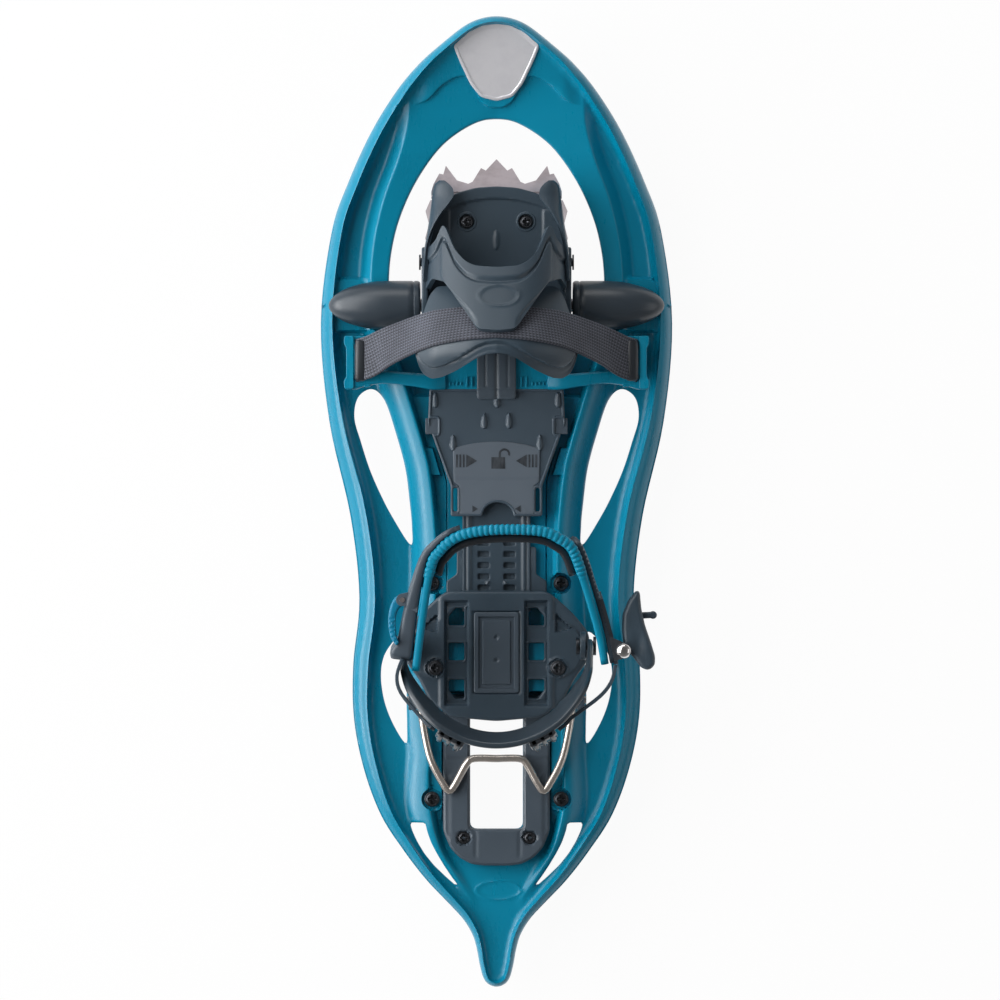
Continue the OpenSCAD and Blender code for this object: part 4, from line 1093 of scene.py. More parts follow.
    rest_corner: tuple = (-198.0, 0.82)  # y and slant of its cut corners
    badge_half: Points = (
        (0, 280.4), (8, 279.5), (16, 275.8), (25.4, 267.8), (21.8, 259), (15.4, 245.6), (9.4, 238.2), (0, 235.8))
    badge_lift: float = 2.05

    def __post_init__(self) -> None:
        """Work out the loops that the heights are read from."""
        self.edge = spline(mirrored(self.outline), 6, True)
        self.rail_line = spline(self.rail, 8)
        half = np.asarray(self.wave, float)
        self.wave_line = spline(np.concatenate([half, half[-2::-1] * MIRROR]), 6)
        self.rail_x, self.rail_y = self.rail_line[np.argsort(self.rail_line[:, 1])].T
        right = self.edge[self.edge[:, 0] > 0.01]
        self.edge_x, self.edge_y = right[np.argsort(right[:, 1])].T

    def lift(self, y: Array) -> Array:
        """Rise of the sheet at the toe and the tail.

        Args:
            y: places along the deck.

        Returns:
            The rises.
        """
        start, end = self.bend_y
        toe = self.bend * np.clip(y - start, 0, end - start) ** 2 + np.maximum(y - end, 0) * self.kick
        low, length, rise = self.tail_rise
        return toe + rise * (np.clip(low - y, 0, length) / length) ** 2

    def rail_at(self, y: Array) -> Array:
        """Distance of the rail from the middle."""
        return np.interp(y, self.rail_y, self.rail_x)

    def rail_form(self, y: Array) -> tuple[Array, Array, Array, Array]:
        """Form of the rail at places along the deck.

        Args:
            y: places along the deck.

        Returns:
            Half its width, how far it is a toe ridge, how far it is its thin end, and the place of its crest across it.
        """
        half = look_up(y, self.rail_width) / 2
        ridge = step_between(y, *self.ridge_y)
        end = step_between(-y, *self.rail_end)
        inner, outer = self.crest_at
        return half, ridge, end, ((1 - ridge) * (inner - half) + ridge * (half - outer)) * (1 - end)

    def window_loops(self) -> list[Array]:
        """Openings through the deck.

        Returns:
            Their loops.
        """
        loops = [spline(mirrored(self.opening), 6, True)]
        for rows in self.windows:
            share, y = np.array(rows).T
            inner = self.rail_at(y) + look_up(y, self.rail_width) / 2
            outer = np.interp(y, self.edge_y, self.edge_x)
            loops += both_sides(spline(np.stack([inner + share * (outer - inner), y], 1), 5, True))
        loops += both_sides(rounded_loop(self.tail_window[::-1], 1.6))
        return loops + [rounded_loop(rectangle(*self.heel_window), 4)]

    def rail_heights(self, x: Array, y: Array) -> Array:
        """Rise of the rails beside the binding and of the ridges round the toe opening.

        Args:
            x: places across the deck.
            y: places along it.

        Returns:
            The rises.
        """
        half, ridge, end, crest = self.rail_form(y)
        slope = np.interp(y, self.rail_y, np.gradient(self.rail_x, self.rail_y))
        t = (np.abs(x) - self.rail_at(y)) / np.sqrt(1 + slope ** 2) - crest
        (near, beyond), (wide, far) = self.rail_reach, self.ridge_reach
        outer = ((1 - ridge) * (2 * half + beyond) + ridge * far) * (1 - end) + end * look_up(y, self.rail_foot)
        inner = ((1 - ridge) * near + ridge * wide) * (1 - end) + end * self.end_reach
        away = np.clip(t / outer, 0, 1)
        down_out = (1 - ridge) * (1 - away ** 1.7) + ridge * (1 - away) ** 1.05
        down_in = (1 - ridge) * np.clip(1 + t / inner, 0, 1) ** 0.8 + ridge * np.clip(1 + t / self.ridge_fade, 0, 1)
        nose = np.exp(-np.clip(0.7 - np.abs(t), 0, 1) ** 2)
        return look_up(y, self.rail_rise) * np.where(t > 0, down_out, down_in) * (0.94 + 0.06 * nose)

    def rim_heights(self, x: Array, y: Array) -> Array:
        """Rise of the outer rim: a bevelled outer face, a thin crest and a hollow inside it.

        Args:
            x: places across the deck.
            y: places along it.

        Returns:
            The rises.
        """
        d = line_distance(np.stack([x, y], 1), self.edge)
        crest = look_up(y, self.crest_in)
        rise = look_up(y, self.rim_rise)
        up = np.clip(d / crest, 0, 1)
        face = -self.rim_drop + (rise + self.rim_drop) * np.sin(up * math.pi / 2) ** 0.8
        fall = np.clip((d - crest) / (0.45 * crest + 2.0), 0, 1)
        inside = rise * (0.78 * (1 - fall) ** 2 + 0.22 * (1 - step_between(d - crest, 0, 1.1)))
        return np.where(d < crest, face, inside) + self.rim_bead[0] * bell(d, crest, self.rim_bead[1])

    def shelf(self, x: Array, y: Array) -> Array:
        """Rise of the shelf between the binding and each rail, with a higher pad beside the cover.

        Args:
            x: places across the deck.
            y: places along it.

        Returns:
            The rises.
        """
        u = np.abs(x)
        crest = self.rail_at(y) - look_up(y, self.rail_width) / 2 + self.crest_at[0]
        inside = np.minimum(u - look_up(y, self.shelf_in), crest - u)
        low = self.shelf_rise * step_between(np.minimum(inside, self.shelf_front - y), 0, 0.36)
        low = low * step_between(y, *self.shelf_rear)
        start, level, slant = self.pad_in
        side = u - start - slant * np.clip(y - level, 0, 40)
        rise = low + self.pad_rise * step_between(least(side, inside, y - self.pad_y[0], self.pad_y[1] - y), 0.2, 1.0)
        for rear, front, high in self.blocks:
            block = least(u - self.block_x[0], self.block_x[1] - u, y - rear, front - y)
            rise = np.maximum(rise, high * step_between(block, 0, 1.2))
        return rise

    def toe_step(self, x: Array, y: Array) -> Array:
        """Low step with a wavy edge below the badge."""
        edge = np.interp(x, *self.wave_line.T)
        return self.step_rise * step_between(y - edge, -0.45, 0.45) * (1 - step_between(np.abs(x), *self.step_x))

    def cap_bed(self, x: Array, y: Array, z: Array) -> Array:
        """Upper face with the beds of the pivot caps cut into it.

        Args:
            x: places across the deck.
            y: places along it.
            z: heights before the cut.

        Returns:
            The heights after it.
        """
        u, reach = np.abs(x), np.abs(y - self.axle_y)
        r = np.interp(u, *self.cap_radii()) + self.cap_room
        bowl = np.maximum(self.seat_z, self.axle_z - np.sqrt(np.maximum(r ** 2 - reach ** 2, 0)))
        high = np.maximum(z, self.seat_z)
        z = np.where((reach < r) & (u > self.bed_x), np.minimum(high, bowl), z)
        block = (u > self.seat_x[0]) & (u < self.seat_x[1]) & (reach < self.seat_reach) & (reach >= r)
        return np.where(block, np.maximum(z, self.seat_z), z)

    def spike_seats(self, x: Array, y: Array, z: Array) -> Array:
        """Upper face with the seats of the spikes.

        Args:
            x: places across the deck.
            y: places along it.
            z: heights before the seats.

        Returns:
            The heights with them.
        """
        for k, (sx, sy) in enumerate(self.spikes):
            away = np.hypot(np.abs(x) - sx, y - sy)
            if k == 0:
                z = np.where(away < self.front_spike_r, self.sheet, z)
            else:
                ring = (away >= self.spike_r[0]) & (away < self.spike_r[1])
                z = np.where(away < self.spike_r[0], self.spike_z[0], np.where(ring, np.maximum(z, self.spike_z[1]), z))
        return z

    def top(self, x: Array, y: Array, depth: Array) -> Array:
        """Upper face of the deck.

        Args:
            x: places across the deck.
            y: places along it.
            depth: distance to the nearest edge.

        Returns:
            The heights.
        """
        rim = self.rim_heights(x, y)
        z = (np.maximum(rim, 0) ** 4 + self.rail_heights(x, y) ** 4) ** 0.25 + np.minimum(rim, 0)
        z = self.sheet + z + self.lift(y) + self.toe_step(x, y)
        inside = line_distance(np.stack([x, y], 1), self.edge)
        z = z - edge_drop(np.where(depth < inside - 1e-6, depth, np.minimum(depth, 9)), self.lip)
        z = np.maximum(self.cap_bed(x, y, z), self.sheet + self.shelf(x, y))
        ox, oy, wide, deep = self.tail_oval
        z = self.spike_seats(x, y, z + 0.5 * bell(np.hypot((x - ox) / wide, (y - oy) / deep), 1, 0.09))
        (half, rear, front), (corner, slant) = self.rest_bed, self.rest_corner
        rest = (np.abs(x) < half - slant * np.clip(corner - y, 0, 15)) & (y < front) & (y > rear)
        return np.where(rest, np.minimum(z, self.sheet + self.lift(y)), z)

    def bottom(self, x: Array, y: Array, depth: Array) -> Array:
        """Under face: the shell follows the upper face.

        Args:
            x: places across the deck.
            y: places along it.
            depth: distance to the nearest edge.

        Returns:
            The heights.
        """
        base = self.floor + self.lift(y)
        inside = line_distance(np.stack([x, y], 1), self.edge)
        shell = np.maximum(self.top(x, y, depth) - self.wall, base)
        return np.where((inside < 2.4) | (depth < 2.2), base, shell) - self.ribs(x, y)

    def ribs(self, x: Array, y: Array) -> Array:
        """Depth of the stiffening ribs under the middle of the deck.

        Args:
            x: places across the deck.
            y: places along it.

        Returns:
            The depths.
        """
        near = least(*(np.abs(y - at) for at in self.rib_y), np.abs(np.abs(x) - self.rib_x))
        room, rear, front = self.rib_area
        inside = least(self.rail_at(y) - room - np.abs(x), y - rear, front - y)
        return self.rib_deep * (1 - step_between(near, 0.5, 1.0)) * step_between(inside, 0, 3)

    def cap_nose_r(self, t: Array) -> Array:
        """Radius of a cap's nose at a share of its length."""
        return self.cap_r * (1 - t ** 2.1) ** 0.54

    def cap_radii(self) -> tuple[Array, Array]:
        """Form of a pivot cap.

        Returns:
            Places along it and its radii.
        """
        start, length = self.cap_nose
        t = np.linspace(0, 1, 25)
        along = np.concatenate([[0, 1, 3], start + length * t]) + self.cap_x
        return along, np.concatenate([[13.4, 14.3, self.cap_r], self.cap_nose_r(t)])

    def crest_points(self) -> list[Array]:
        """Points along the crests of the rim, the rails and the wavy step.

        Returns:
            Lines of points.
        """
        edge = evenly(self.edge, 1.5)
        reach = loop_normals(edge) * look_up(edge[:, 1], self.crest_in)[:, None]
        shares = (0.2, 0.4, 0.6, 0.78, 0.9, 0.95, 1.0, 1.05, 1.1, 1.2, 1.4)
        out = [edge + s * reach * k for s in (1, -1) for k in shares]
        rail = evenly(self.rail_line, 1.4, False)
        across = left_of(np.gradient(rail, axis=0))
        crest = self.rail_form(rail[:, 1])[3][:, None]
        out += both_sides(*(rail + across * (crest + off) for off in (-3.2, -2.5, -1.2, -0.5, 0, 0.5, 1.2)))
        wave = evenly(self.wave_line, 0.9, False)
        return out + [wave + [0, k] for k in (-0.9, -0.45, -0.15, 0.15, 0.45, 0.9)]

    def shelf_points(self) -> list[Array]:
        """Points along the shelf, its pads and the blocks under the platform.

        Returns:
            Lines of points.
        """
        y = np.arange(-189, self.shelf_front, 1.5)
        out = both_sides(*(np.stack([look_up(y, self.shelf_in) + off, y], 1) for off in (0.0, 0.18, 0.36)))
        start, level, slant = self.pad_in
        y = np.arange(15.7, 33, 1.0)
        out += both_sides(*(np.stack([start + off + slant * (y - level), y], 1) for off in (0.2, 0.6, 1.0)))
        for row in (15.7, 16.5, 32.0, 32.8):
            x = np.arange(start + slant * (row - level), 44, 0.8)
            out += both_sides(np.stack([x, np.full_like(x, row)], 1))
        x0, x1 = self.block_x
        for rear, front, _ in self.blocks:
            out += both_sides(*(evenly(rectangle(x0 + off, rear + off, x1 - off, front - off), 1.0)
                                for off in (0.0, 0.6, 1.2)))
        return out

    def seat_points(self) -> list[Array]:
        """Points round the tail's oval and the spike seats, and along the ribs.

        Returns:
            Lines of points.
        """
        ox, oy, wide, deep = self.tail_oval
        out = [arc((ox, oy), (wide * k, deep * k), whole_turn(60)) for k in (0.85, 0.93, 1, 1.07, 1.15)]
        x, y = np.arange(-30, 31, 2.0), np.arange(-112, 86, 2.0)
        for off in (-1.0, -0.5, 0.5, 1.0):
            out += [np.stack([x, np.full_like(x, at + off)], 1) for at in self.rib_y]
            out += [np.stack([np.full_like(y, s * self.rib_x + off), y], 1) for s in SIDES]
        for spike in self.spikes:
            out += both_sides(*(arc(spike, r, whole_turn(24)) for r in (6.1, 6.3, 7.5, 7.8)))
        return out

    def build_shell(self) -> bpy.types.Object:
        """The deck moulding.

        Returns:
            The moulding.
        """
        crisp = self.crest_points() + self.shelf_points() + self.seat_points()
        rings = (0.25, 0.6, 1.1, 2.3)
        return Relief(self.edge, self.top, self.bottom, self.window_loops(), 1.9, rings, crisp).piece("deck_shell", 48)

    def build_badge(self) -> bpy.types.Object:
        """Bare shield with a raised border, lying on the sloping toe.

        Returns:
            The badge.
        """
        loop = spline(evenly(rounded_loop(mirrored(self.badge_half), 2), 1.6), 3, True)
        seat = self.sheet + self.badge_lift

        def top(x: Array, y: Array, depth: Array) -> Array:
            """Border and field.

            Args:
                x: places across.
                y: places along.
                depth: distance to the nearest edge.

            Returns:
                The heights.
            """
            clear = self.top(x, y, np.full_like(x, 9.0)) + 0.9
            border = np.maximum(seat + self.lift(y) + 1.5, clear) - edge_drop(depth, 0.7)
            return border - 0.5 * step_between(depth, 1.5, 2.1)

        def bottom(x: Array, y: Array, depth: Array) -> Array:
            """Seat on the deck."""
            return seat + self.lift(y) - 0.3
        return Relief(loop, top, bottom, [], 1.0, (0.2, 0.5, 1.2, 1.5, 2.1)).piece("badge_shield")

    def build_cap(self, side: int) -> bpy.types.Object:
        """Bullet-shaped pivot cap with a lip at its open end.

        Args:
            side: 1 for the right, -1 for the left.

        Returns:
            The cap.
        """
        start, length = self.cap_nose
        profile = [(0.2, 5.4), (0.2, 9.0), (0.9, 9.6), (0.9, 11.2), (0, 11.8), (0, 13.2), (0.6, 14.1), (1.6, 14.5),
                   (3.4, 14.5), (3.8, 14.1), (4.4, 14.1), (4.8, 14.45), (8, 14.5), (12, 14.5), (16, 14.5)]
        profile += [(start + length * t, self.cap_nose_r(t)) for t in np.sin(np.linspace(0.06, math.pi / 2 - 0.02, 26))]
        verts, faces = lathe(profile, (self.cap_x, self.axle_y, self.axle_z), 0, 64)
        beyond = verts[:, 0] > 60
        verts[beyond, 2] = np.maximum(verts[beyond, 2], self.seat_z + 0.3)
        if side < 0:
            verts, faces = verts * [-1, 1, 1], [f[::-1] for f in faces]
        return mesh_object(f"cap_{'right' if side > 0 else 'left'}", verts, faces, 42)

    def build_rest(self) -> bpy.types.Object:
        """Heel rest: a flat U-shaped plate with cut corners and a hollow for the tail window.

        Returns:
            The plate.
        """
        low, high = self.rest_z

        def top(x: Array, y: Array, depth: Array) -> Array:
            """Flat plate with bevelled edges, two faint grooves and screw seats.

            Args:
                x: places across.
                y: places along.
                depth: distance to the nearest edge.

            Returns:
                The heights.
            """
            z = high - edge_drop(depth, 1.4) - 0.4 * step_between(1.5 - depth, 0, 0.6)
            for groove in (-12.2, 13.6):
                z = z - 0.6 * bell(x, groove, 0.7) * step_between(y, -210, -207) * (y < -193)
            away = np.hypot(np.abs(x) - self.rest_screw[0], y - self.rest_screw[1])
            z = z - 1.6 * (1 - step_between(away, 4.1, 4.5))
            step = step_between(-160 - y, -0.6, 0.6) * step_between(27.5 - np.abs(x), -0.6, 0.6)
            return z - 0.5 * (1 - step) * (y < -150)
        loop = rounded_loop(self.rest_loop, 2.4)
        return Relief(loop, top, eased(low), [], 1.2, (0.2, 0.5, 1.0, 1.5, 2.2)).piece("rest_plate", 40)

    def build(self) -> None:
        """Make and dress every piece of the deck."""
        settle(self.build_shell(), "deck", Finishes.teal, "deck_frame")
        settle(self.build_badge(), "deck", Finishes.badge, "toe_badge")
        for side, name in ((1, "right"), (-1, "left")):
            settle(self.build_cap(side), "deck", Finishes.cap, f"pivot_cap_{name}")
            keep_solid(f"lifter_clip_{name}", Finishes.dark, 0.7)
        settle(self.build_rest(), "deck", Finishes.grey, "heel_rest")
        for node in ("pivot_axle", "axle_rings", "deck_spikes"):
            keep_solid(node, Finishes.steel, 0.35)
        keep_solid("axle_bushes", Finishes.black, 0.3)
        keep_solid("cap_screws", Finishes.screw, 0.3)
        heights = ((self.sheet, 24.5), (self.spike_z[0], 28.8), (self.spike_z[0], 28.8))
        seats = [(s * x, y, *z) for (x, y), z in zip(self.spikes, heights) for s in SIDES]
        settle(screw_heads("spike_bolts", seats, 4.5), "deck", Finishes.screw, "spike_screws")
        seats = [(s * self.rest_screw[0], self.rest_screw[1], 27.0, 30.2) for s in SIDES]
        settle(screw_heads("rest_bolts", seats, 3.6), "deck", Finishes.screw, "heel_rest_screws")


# ---------------------------------------------------------------- lifter

@dataclass
class Lifter:
    """Swinging wire under the heel. Sizes in millimetres."""

    stub: Points = ((52.7, -116), (51.5, -116), (48, -116), (45.6, -116.3))
    wire: Points = ((44, -116), (43.5, -128), (39, -150), (31, -166), (27.5, -169.5), (24, -165), (18, -154),
                    (13.5, -150.5), (0, -150.5))
    pivot_z: float = 33.0
    radius: float = 2.25

    def build(self) -> None:
        """Bend the wire and dress it."""
        right = np.concatenate([self.stub, spline(self.wire, 8)[1:]])
        path = evenly(np.concatenate([right, (right * MIRROR)[-2::-1]]), 1.3, False)
        verts, faces = tube(np.column_stack([path, np.full(len(path), self.pivot_z)]), self.radius, 18)
        settle(mesh_object("lifter_wire", verts, faces, 50), "lifter", Finishes.wire, "heel_lifter")


# ---------------------------------------------------------------- stage

@dataclass
class Studio:
    """Floor, light and the camera above the toe-up object. Sizes in metres, powers in watts."""

    height: float = 6.0
    aim: tuple = (0.00205, 0.0016)
    seen: float = 0.5885
    focus_z: float = 0.03
    sensor: float = 36.0
    floor_half: float = 4.0
    floor_z: float = -0.0006
    lamps: tuple = (("key_left", (-1.75, 0.5, 1.5), 3.2, 1.9, 66), ("strip_left", (-2.3, 0.1, 0.75), 2.4, 0.5, 32),
                    ("fill_right", (2.2, -0.2, 1.2), 1.8, 1.0, 6), ("fill_toe", (-0.3, 2.4, 1.3), 1.8, 1.0, 14))

    def build(self) -> None:
        """Set the stage."""
        bpy.context.scene.view_settings.view_transform = "Standard"
        self.camera()
        self.world()
        self.floor()
        for lamp in self.lamps:
            self.lamp(*lamp)

    def camera(self) -> None:
        """Long lens straight above."""
        data = bpy.data.cameras.new("camera")
        data.sensor_width = self.sensor
        data.clip_end = 50
        data.lens = self.sensor * (self.height - self.focus_z) / self.seen
        obj = bpy.data.objects.new("camera", data)
        obj.location = (*self.aim, self.height)
        bpy.context.scene.collection.objects.link(obj)
        bpy.context.scene.camera = obj

    def world(self) -> None:
        """Pale surroundings that darken upward, seen as white by the camera."""
        world = bpy.data.worlds.new("pale_room")
        bpy.context.scene.world = world
        shade = Shade(world)
        way = shade.node("ShaderNodeTexCoord", {}, {}, "Generated")
        strength = 0.36 - 0.26 * (shade.part(way, 2).limited() ** 0.5)
        seen = shade.node("ShaderNodeLightPath", {}, {}, "Is Camera Ray")
        shade.give(Color=(1, 1, 1, 1), Strength=strength + seen * (1 - strength))

    def floor(self) -> None:
        """White floor that keeps a faint shadow."""
        half, z = self.floor_half / MM, self.floor_z / MM
        corners = rectangle(-half, -half, half, half)
        obj = mesh_object("floor", np.column_stack([corners, np.full(4, z)]), [(0, 1, 2, 3)])
        paper = bpy.data.materials.new("white_floor")
        shade = Shade(paper)
        speck = shade.noise(shade.place(), 900, 2)
        shade.give(Base_Color=shade.mix(speck, (0.86, 0.86, 0.86, 1), (0.9, 0.9, 0.9, 1)), Roughness=0.7)
        seen = shade.node("ShaderNodeLightPath", {}, {}, "Is Camera Ray")
        reflected = shade.node("ShaderNodeLightPath", {}, {}, "Is Glossy Ray")
        glow = shade.node("ShaderNodeEmission", {}, {"Color": (1, 1, 1, 1), "Strength": 1.0})
        plain = Link(shade, shade.shader.outputs[0])
        mixed = shade.node("ShaderNodeMixShader", {}, {0: (seen + reflected).limited() * 0.95, 1: plain, 2: glow})
        shade.feed(shade.tree.nodes["Material Output"].inputs["Surface"], mixed)
        obj.data.materials.append(paper)

    def lamp(self, name: str, at: Sequence[float], wide: float, deep: float, power: float) -> None:
        """Soft box aimed at the object.

        Args:
            name: the lamp's name.
            at: its place in metres.
            wide: its width.
            deep: its height.
            power: its power in watts.
        """
        data = bpy.data.lights.new(name, "AREA")
        data.shape = "RECTANGLE"
        data.size, data.size_y, data.energy = wide, deep, power
        obj = bpy.data.objects.new(name, data)
        obj.location = at
        obj.rotation_euler = (-Vector(at)).to_track_quat("-Z", "Y").to_euler()
        bpy.context.scene.collection.objects.link(obj)


# ---------------------------------------------------------------- binding

@dataclass
class Binding:
    """Hinged binding: toe plate and hood, strap and pad, size cover. Sizes in millimetres."""

    foot_z: float = 42.6
    vamp_half: float = 42.1
    vamp_foot: float = 46.0
    vamp_rise: float = 38.0
    vamp_slope: float = 0.466
    vamp_y: float = 139.0
    vamp_power: float = 2.6
    hood_thick: float = 3.0
    hood_front: Points = (  # (share of the half width, y), as in hood_rear
        (0, 137), (0.3, 138), (0.44, 141), (0.58, 148), (0.69, 160), (0.73, 163), (0.77, 160), (0.82, 154), (0.9, 150),
        (1, 147))
    hood_rear: Points = ((0, 100), (0.26, 101), (0.72, 129), (0.9, 131), (1, 124))
    hood_oval: tuple = (1.5, 120.3, 11.5, 6.2)  # middle and radii
    strap_width: float = 25.0
    strap_thick: float = 1.9
    strap_line: Points = (  # x, y, z and tilt in degrees, then the tuck round the loop's bar
        (0, 105.5, 92.6, 42), (16, 104.6, 91.2, 40), (33, 102.4, 84.6, 36), (43, 99.8, 77, 32), (56.5, 94.6, 64.5, 24),
        (66, 90.3, 55, 14), (73.5, 86.2, 48.8, 5), (78.6, 84.4, 44.4, 0), (81.6, 83.6, 41.4, 0), (82.2, 83.2, 38.6, 0),
        (80.6, 83, 36.0, 0), (76.5, 83, 34.9, 0), (72.5, 83, 34.8, 0))
    # place and rows of the black blocks that paint the shade in the strap's folds round the loops
    fold_shade_at: tuple = (79.6, 43.4)
    fold_shade_rows: Points = (  # y, width and height
        (71.4, 3, 2), (72, 6.4, 5.4), (73, 7.4, 6.6), (82, 7.6, 7.0), (92, 7.4, 6.6), (95, 6.4, 5.4), (95.6, 3, 2))
    pad_half: float = 47.5
    pad_thick: float = 2.6
    pad_rear: Points = (
        (0, 87.2), (6, 86.6), (11, 84.6), (17, 81), (23, 77.4), (32, 73.4), (38, 72.6), (43, 75.6), (46.2, 82),
        (47.5, 90))
    pad_front: Points = (
        (0, 111), (10, 112), (17, 120), (24, 126), (34, 126), (38.5, 121), (41, 113), (44, 105), (47.5, 97))
    ear: Points = (  # y, outer x, inner x and height
        (130, 43.3, 42.9, 64), (146, 42.6, 41.6, 65), (152, 41.8, 40.6, 65), (161, 40.3, 37.6, 64), (170, 39, 32.3, 62),
        (176, 38.2, 27.6, 60), (180, 37.6, 25.2, 58.5), (184, 37, 25.6, 57), (187, 36, 28, 55.5), (189, 33.8, 30.6, 54))
    ear_z: tuple = (42.4, 50.0)
    cheek: Points = ((97, 42.2), (150, 42.2), (150, 52), (137, 60), (120, 60), (99, 50))
    cheek_x: tuple = (40.0, 43.9)
    claw_z: float = 42.0
    claw_thick: float = 2.5
    claw_fold: float = 182.0
    claw_bends: tuple = (55.0, 78.0)  # degrees of the front and the side flanges
    claw_teeth: Points = (  # (x, reach)
        (38.3, -3), (38.3, 2), (37, 10), (33.8, 21), (31.4, 20), (29.9, 29.6), (23.2, 13.6), (16.7, 10), (14.2, 12),
        (9.2, 27), (6.4, 24.2), (0, 36.6))
    claw_side: Points = (  # (y, reach)
        (134, -2), (134, 12), (140, 24), (148, 14), (156, 25), (164, 14), (172, 24), (178, 10), (178, -2))
    claw_plate: tuple = (-37.0, 128.0, 37.0, 183.0)
    base_side: Points = ((66, 27.6), (92, 27.6), (116, 32), (116, 41.4), (98, 41.8), (96, 41.8), (90, 36), (66, 36))
    barrel: Points = ((-38, 5.3), (-38, 6.6), (-37.5, 7), (37.5, 7), (38, 6.6), (38, 5.3))
    hinge: tuple = (0.0, 116.0, 35.0)
    arm: Points = (  # x, y, z, width and height
        (30, 71.6, 36, 10, 6), (38, 71, 38.6, 9, 5.6), (50, 72.4, 39.4, 8, 5.2), (64, 73.6, 39.6, 7.4, 5),
        (75, 72.6, 39.2, 7.6, 5), (83, 70.8, 39, 8.6, 5), (88, 70.6, 39, 8.6, 5))
    post: Points = ((83.9, 67), (89.4, 67), (89.7, 71.4), (88.2, 74), (88.2, 91), (89.7, 93.6), (89.4, 98), (83.9, 98))
    post_z: tuple = (36.6, 43.2)
    loop_bars: Points = ((74, 68, 78, 98, 41.4), (74, 94.8, 86, 98, 40.6))  # two corners and the top
    cover_half: Points = (
        (11.5, 67), (39.5, 67), (40.4, 47), (36.5, 36), (28.5, 14), (27, 10), (27, -8))
    cover_z: tuple = (32.5, 36.5)
    cover_holes: Points = ((23.0, -5, 25.4, 8.6, 0.9), (34.6, 40.6, 39.2, 49.4, 0.8))  # two corners and the rounding
    notch_at: tuple = (0.8, -8.0)
    bumps: Points = ((-36.1, 60.5), (0.3, 60.5), (36.1, 60.5), (-7.3, 48.1), (7.3, 48.1), (-25.5, 35.2), (25.5, 35.2))
    bump_half: tuple = (1.7, 4.6)
    panel_z: tuple = (35.4, 36.45)
    panel_side: Points = ((25.2, 12.4), (22.0, 10.0), (22.0, -6.8))
    marks: tuple = (((18.8, 20.8), (19.8, 20.8), (19.8, 28.4), (18.8, 28.4)),
                    ((20.8, 20.8), (21.8, 20.8), (21.8, 28.4), (20.8, 28.4)),
                    ((22.8, 20.8), (23.8, 20.8), (23.8, 28.4), (22.8, 28.4)),
                    ((11.4, 24.6), (17.8, 20.8), (17.8, 28.4)),
                    ((10.8, -3.6), (14.2, -5.6), (14.2, -1.6)))
    shackle_at: tuple = (4.6, 28.6)
    shackle_r: tuple = (2.2, 3.4)
    spine: tuple = (-11.5, 60.8, 11.5, 88.0)
    spine_z: tuple = (36.2, 39.1)
    tick_z: tuple = (35.6, 37.2)
    tread_half: Points = ((0, 185.8), (12, 185), (24, 181.8), (32, 176), (37, 167), (40.2, 150), (40.2, 97), (0, 97))
    tread_z: tuple = (42.0, 45.6)
    tread_well: tuple = (4.6, 43.6)  # radius and height
    toe_screw: tuple = (17.3, 165.0)
    almond: tuple = (154.0, 1.7, 6.5)  # y of its middle, half width and half length
    tread_front: tuple = (185.8, 0.0068)  # y at the middle and fall to the sides
    tread_lip: tuple = (7.4, 1.3)  # run and rise
    toe_seat: tuple = (43.0, 45.6)
    base_half: float = 36.0
    lip_rise: float = 1.1
    lip_deep: tuple = (6.0, 7.4)
    tongue_half: tuple = (12.5, 20.0)  # half width behind, and how much it spreads to the front
    tongue_y: tuple = (104.0, 134.0)
    pad_step: float = 1.3
    pad_band: tuple = (6.0, 7.0)
    lattice_x: tuple = (-26.0, -9.0, 9.0, 26.0)
    lattice_y: tuple = (-48.0, -26.0, -4.0, 18.0, 40.0, 62.0)
    lattice_low: tuple = (22.7, 22.8)  # lengthwise bars, and cross bars
    lattice_top: float = 23.7
    panel_arch: tuple = (25.6, 36.0, 0.0062)  # half width, y at the middle and fall to the sides
    panel_notch: tuple = (10.4, 9.4)
    cover_notch: tuple = (9.2, 8.2)
    lock_box: tuple = (-3.0, 20.0, 5.0, 26.8)
    mark_seat: tuple = (36.05, 36.35)
    mark_rise: float = 0.25
    ticks: Points = ((14.5, 71, 1.1, 6.0), (17.5, 71, 1.1, 6.0), *((21 + 2.2 * k, 70, 0.9, 2.2) for k in range(6)))

    def build_hood(self) -> bpy.types.Object:
        """Toe hood: an arched shell with a thick front lip and a tongue.

        Returns:
            The hood.
        """
        turn = np.linspace(0, math.pi, 121)
        c = np.cos(turn)
        x = -self.vamp_half * np.sign(c) * np.abs(c) ** (2 / self.vamp_power)
        front, rear = (smoothed(np.interp(np.abs(x) / self.vamp_half, *np.array(rows).T), (1, 2, 3, 2, 1))
                       for rows in (self.hood_front, self.hood_rear))
        y = front[:, None] + (rear - front)[:, None] * np.linspace(0, 1, 46)[None]
        arch = np.abs(np.sin(turn)) ** (2 / self.vamp_power)
        z = self.vamp_foot + (self.vamp_rise + self.vamp_slope * (self.vamp_y - y)) * arch[:, None]
        grid = np.stack([np.broadcast_to(x[:, None], y.shape), y, z], -1)
        grid = np.concatenate([grid[:1], grid, grid[-1:]])
        grid[[0, -1], :, 2] = self.foot_z
        gx, y = grid[..., 0], grid[..., 1]
        lip = y[:, :1] - y
        relief = self.lip_rise * (1 - step_between(lip, *self.lip_deep)) - 0.5 * bell(lip, 8.2, 0.9)
        narrow, spread = self.tongue_half
        body = narrow + spread * step_between(y, *self.tongue_y)
        relief += 0.9 * (1 - step_between(np.abs(gx) - body, -1.2, 0.6)) * step_between(lip, 8.6, 9.8)
        ox, oy, wide, deep = self.hood_oval
        oval = np.hypot((gx - ox) / wide, (y - oy) / deep)
        relief += 0.45 * bell(oval, 1, 0.08) - 0.25 * (1 - step_between(oval, 0.88, 0.98))
